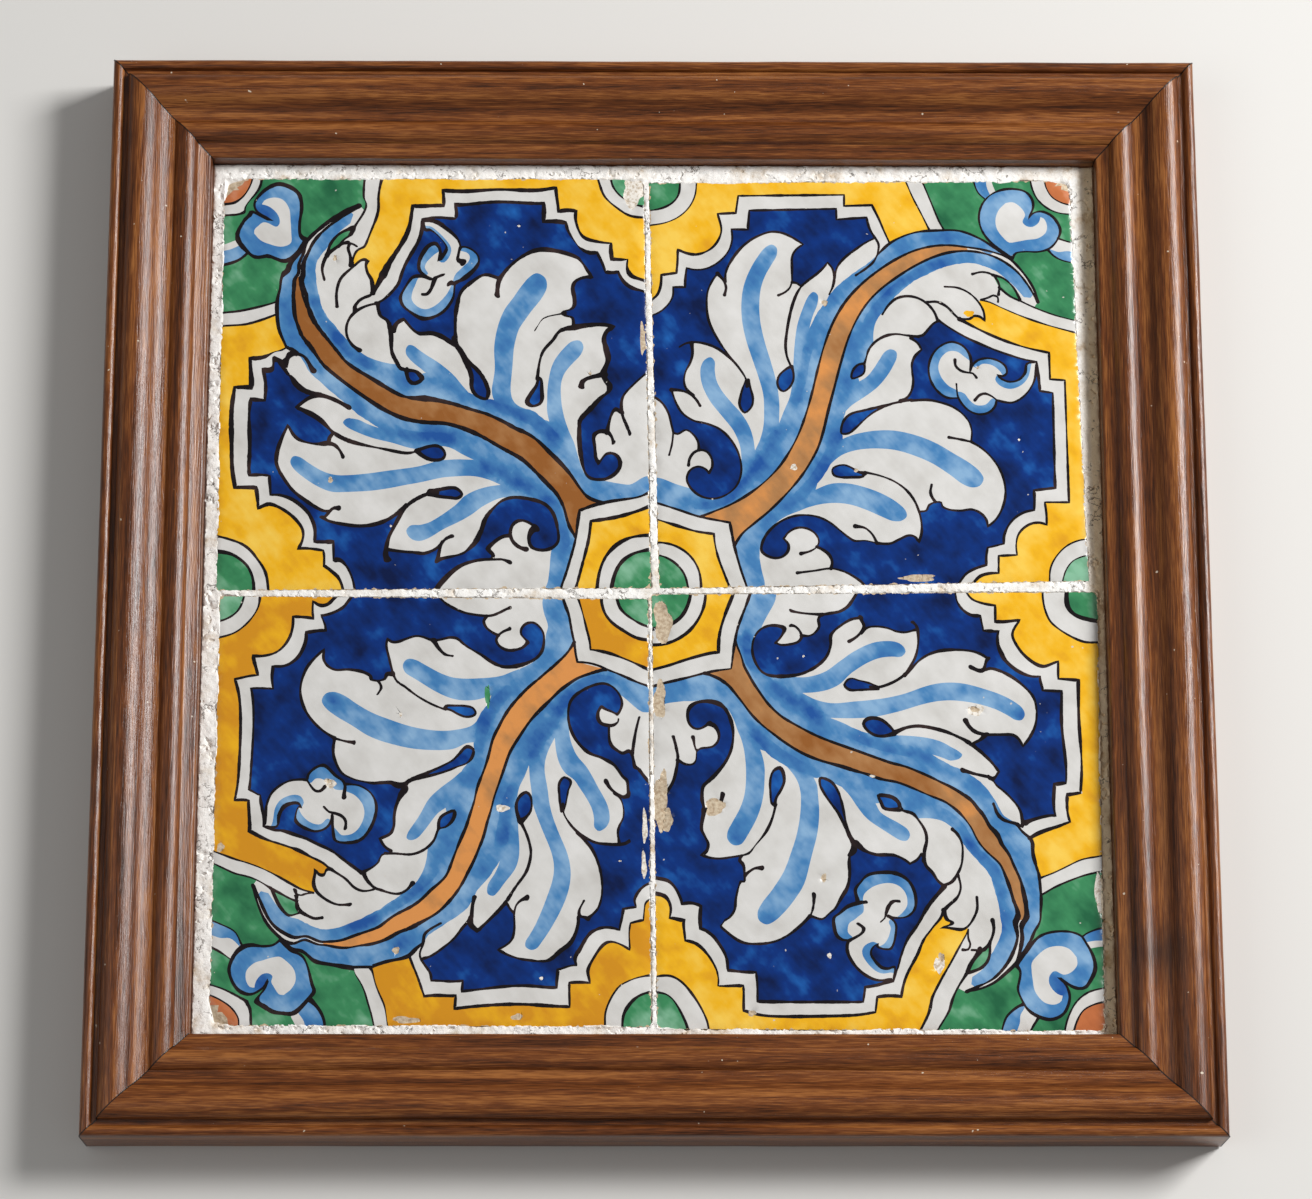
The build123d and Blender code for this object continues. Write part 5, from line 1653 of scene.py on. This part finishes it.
class TilePanelFrame(bpy.types.PropertyGroup):
    """What a user may change on the frame."""
    rail_cuts: bpy.props.IntProperty(
        name="Cuts", description="Steps along each rail", default=120, min=2, max=400)
    unevenness: bpy.props.FloatProperty(
        name="Unevenness", description="Depth of the dents of the moulding", default=0.5 * MM, min=0,
        max=3 * MM,
        subtype="DISTANCE", unit="LENGTH", precision=5)


class TilePanelStage(bpy.types.PropertyGroup):
    """What a user may change on the stage."""
    camera_place: bpy.props.FloatVectorProperty(
        name="Camera", description="Where the camera stands", default=(-0.0192, -0.5322, 1.9709),
        subtype="XYZ",
        unit="LENGTH")
    camera_turn: bpy.props.FloatVectorProperty(
        name="Camera turn", description="Turns of the camera about X, Y and Z, Z first",
        default=(math.radians(15.108), math.radians(-0.567), math.radians(0.089)), subtype="EULER",
        unit="ROTATION")
    lens: bpy.props.FloatProperty(
        name="Lens", description="Focal length in mm on a 36 mm sensor", default=121.3, min=20, max=400)
    key_power: bpy.props.FloatProperty(
        name="Key light", description="Power of the main lamp in watts", default=90.0, min=0, max=500)
    fill_power: bpy.props.FloatProperty(
        name="Fill light", description="Power of the second lamp in watts", default=10.0, min=0, max=500)
    sky: bpy.props.FloatProperty(
        name="Surroundings", description="Strength of the light from all round", default=0.2, min=0, max=2)


class TilePanelSettings(bpy.types.PropertyGroup):
    """All settings of the panel."""
    tiles: bpy.props.PointerProperty(type=TilePanelTiles)
    mortar: bpy.props.PointerProperty(type=TilePanelMortar)
    frame: bpy.props.PointerProperty(type=TilePanelFrame)
    stage: bpy.props.PointerProperty(type=TilePanelStage)


# Operators


class TILEPANEL_OT_tiles(bpy.types.Operator):
    """Makes the four painted tiles"""
    bl_idname = "tile_panel.tiles"
    bl_label = "Painted tiles"

    def execute(self, context):
        materials = {paint: glaze_material(paint) for paint in PAINT_COLOURS}
        materials["biscuit"] = biscuit_material()
        materials["chalk"] = chalk_material()
        for name in TILES:
            make_tile(name, context.scene.tile_panel.tiles, materials)
        return {"FINISHED"}


class TILEPANEL_OT_mortar(bpy.types.Operator):
    """Makes the lime mortar in the joints and margins"""
    bl_idname = "tile_panel.mortar"
    bl_label = "Lime mortar"

    def execute(self, context):
        make_mortar(context.scene.tile_panel.mortar, mortar_material())
        return {"FINISHED"}


class TILEPANEL_OT_rails(bpy.types.Operator):
    """Makes the four moulded rails of the frame"""
    bl_idname = "tile_panel.rails"
    bl_label = "Moulded rails"

    def execute(self, context):
        tree = rail_tree()
        loop, half = section_outline()
        wood = rail_material()
        for node in RAILS:
            make_rail(node, tree, loop, half, context.scene.tile_panel.frame, wood)
        bpy.data.node_groups.remove(tree)
        return {"FINISHED"}


class TILEPANEL_OT_board(bpy.types.Operator):
    """Gives the back board its bare wood"""
    bl_idname = "tile_panel.board"
    bl_label = "Back board"

    def execute(self, context):
        board = frame["nodes"]["back_board"]
        wood = board_material()
        for slot in board.material_slots:
            slot.material = wood
        return {"FINISHED"}


def add_lamp(name, place, size, power, aim=(0, 0, 0)):
    """A square soft lamp that looks at a point."""
    lamp = bpy.data.lights.new(name, "AREA")
    lamp.size = size
    lamp.energy = power
    thing = bpy.data.objects.new(name, lamp)
    thing.location = place
    thing.rotation_euler = (Vector(aim) - Vector(place)).to_track_quat("-Z", "Y").to_euler()
    bpy.context.scene.collection.objects.link(thing)


class TILEPANEL_OT_stage(bpy.types.Operator):
    """Makes the floor, the lamps and the camera"""
    bl_idname = "tile_panel.stage"
    bl_label = "Stage"

    def execute(self, context):
        settings = context.scene.tile_panel.stage
        scene = context.scene
        mesh = bpy.data.meshes.new("floor")
        mesh.from_pydata([(-4, -4, 0), (4, -4, 0), (4, 4, 0), (-4, 4, 0)], [], [(0, 1, 2, 3)])
        floor = bpy.data.objects.new("floor", mesh)
        scene.collection.objects.link(floor)
        mesh.materials.append(floor_material())
        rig.stage(floor)
        add_lamp("key", (1.9, 0.8, 1.8), 0.9, settings.key_power)
        add_lamp("fill", (-1.6, -0.4, 2.2), 1.6, settings.fill_power)
        world = bpy.data.worlds.new("studio")
        world.use_nodes = True
        world.node_tree.nodes["Background"].inputs["Color"].default_value = (1, 1, 1, 1)
        world.node_tree.nodes["Background"].inputs["Strength"].default_value = settings.sky
        scene.world = world
        camera = bpy.data.objects.new("camera", bpy.data.cameras.new("camera"))
        camera.data.lens = settings.lens
        camera.data.sensor_fit = "HORIZONTAL"
        camera.data.clip_start = 0.05
        camera.location = settings.camera_place
        camera.rotation_mode = "ZYX"
        camera.rotation_euler = settings.camera_turn
        scene.collection.objects.link(camera)
        scene.camera = camera
        scene.view_settings.view_transform = "Standard"
        return {"FINISHED"}


class TILEPANEL_PT_panel(bpy.types.Panel):
    """Lists the pieces of the panel and what can be changed"""
    bl_idname = "TILEPANEL_PT_panel"
    bl_label = "Tile Panel"
    bl_space_type = "VIEW_3D"
    bl_region_type = "UI"
    bl_category = "Tile Panel"

    def draw(self, context):
        settings = context.scene.tile_panel
        for operator, group in ((TILEPANEL_OT_tiles, settings.tiles), (TILEPANEL_OT_mortar, settings.mortar),
                                (TILEPANEL_OT_rails, settings.frame), (TILEPANEL_OT_board, None),
                                (TILEPANEL_OT_stage, settings.stage)):
            box = self.layout.box()
            box.operator(operator.bl_idname)
            for name in (group.bl_rna.properties.keys() if group else ()):
                if name not in ("rna_type", "name"):
                    box.prop(group, name)


CLASSES = (TilePanelTiles, TilePanelMortar, TilePanelFrame, TilePanelStage, TilePanelSettings,
           TILEPANEL_OT_tiles, TILEPANEL_OT_mortar, TILEPANEL_OT_rails, TILEPANEL_OT_board,
           TILEPANEL_OT_stage, TILEPANEL_PT_panel)


def register():
    """Registers the classes and the settings of the scene."""
    for each in CLASSES:
        bpy.utils.register_class(each)
    bpy.types.Scene.tile_panel = bpy.props.PointerProperty(type=TilePanelSettings)


def unregister():
    """Takes away what register added."""
    del bpy.types.Scene.tile_panel
    for each in reversed(CLASSES):
        bpy.utils.unregister_class(each)


def main():
    """Makes all pieces and the stage, and notes the boxes of the frame and of the dressed model."""
    register()
    bpy.ops.tile_panel.stage()
    bpy.ops.tile_panel.tiles()
    bpy.ops.tile_panel.mortar()
    bpy.ops.tile_panel.rails()
    bpy.ops.tile_panel.board()
    with open("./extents.json", "w") as out:
        json.dump({"cad": [list(c) for c in CAD_BOUNDS], "visual": [list(c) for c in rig.bounds()]}, out)


if __name__ == "__main__":
    main()
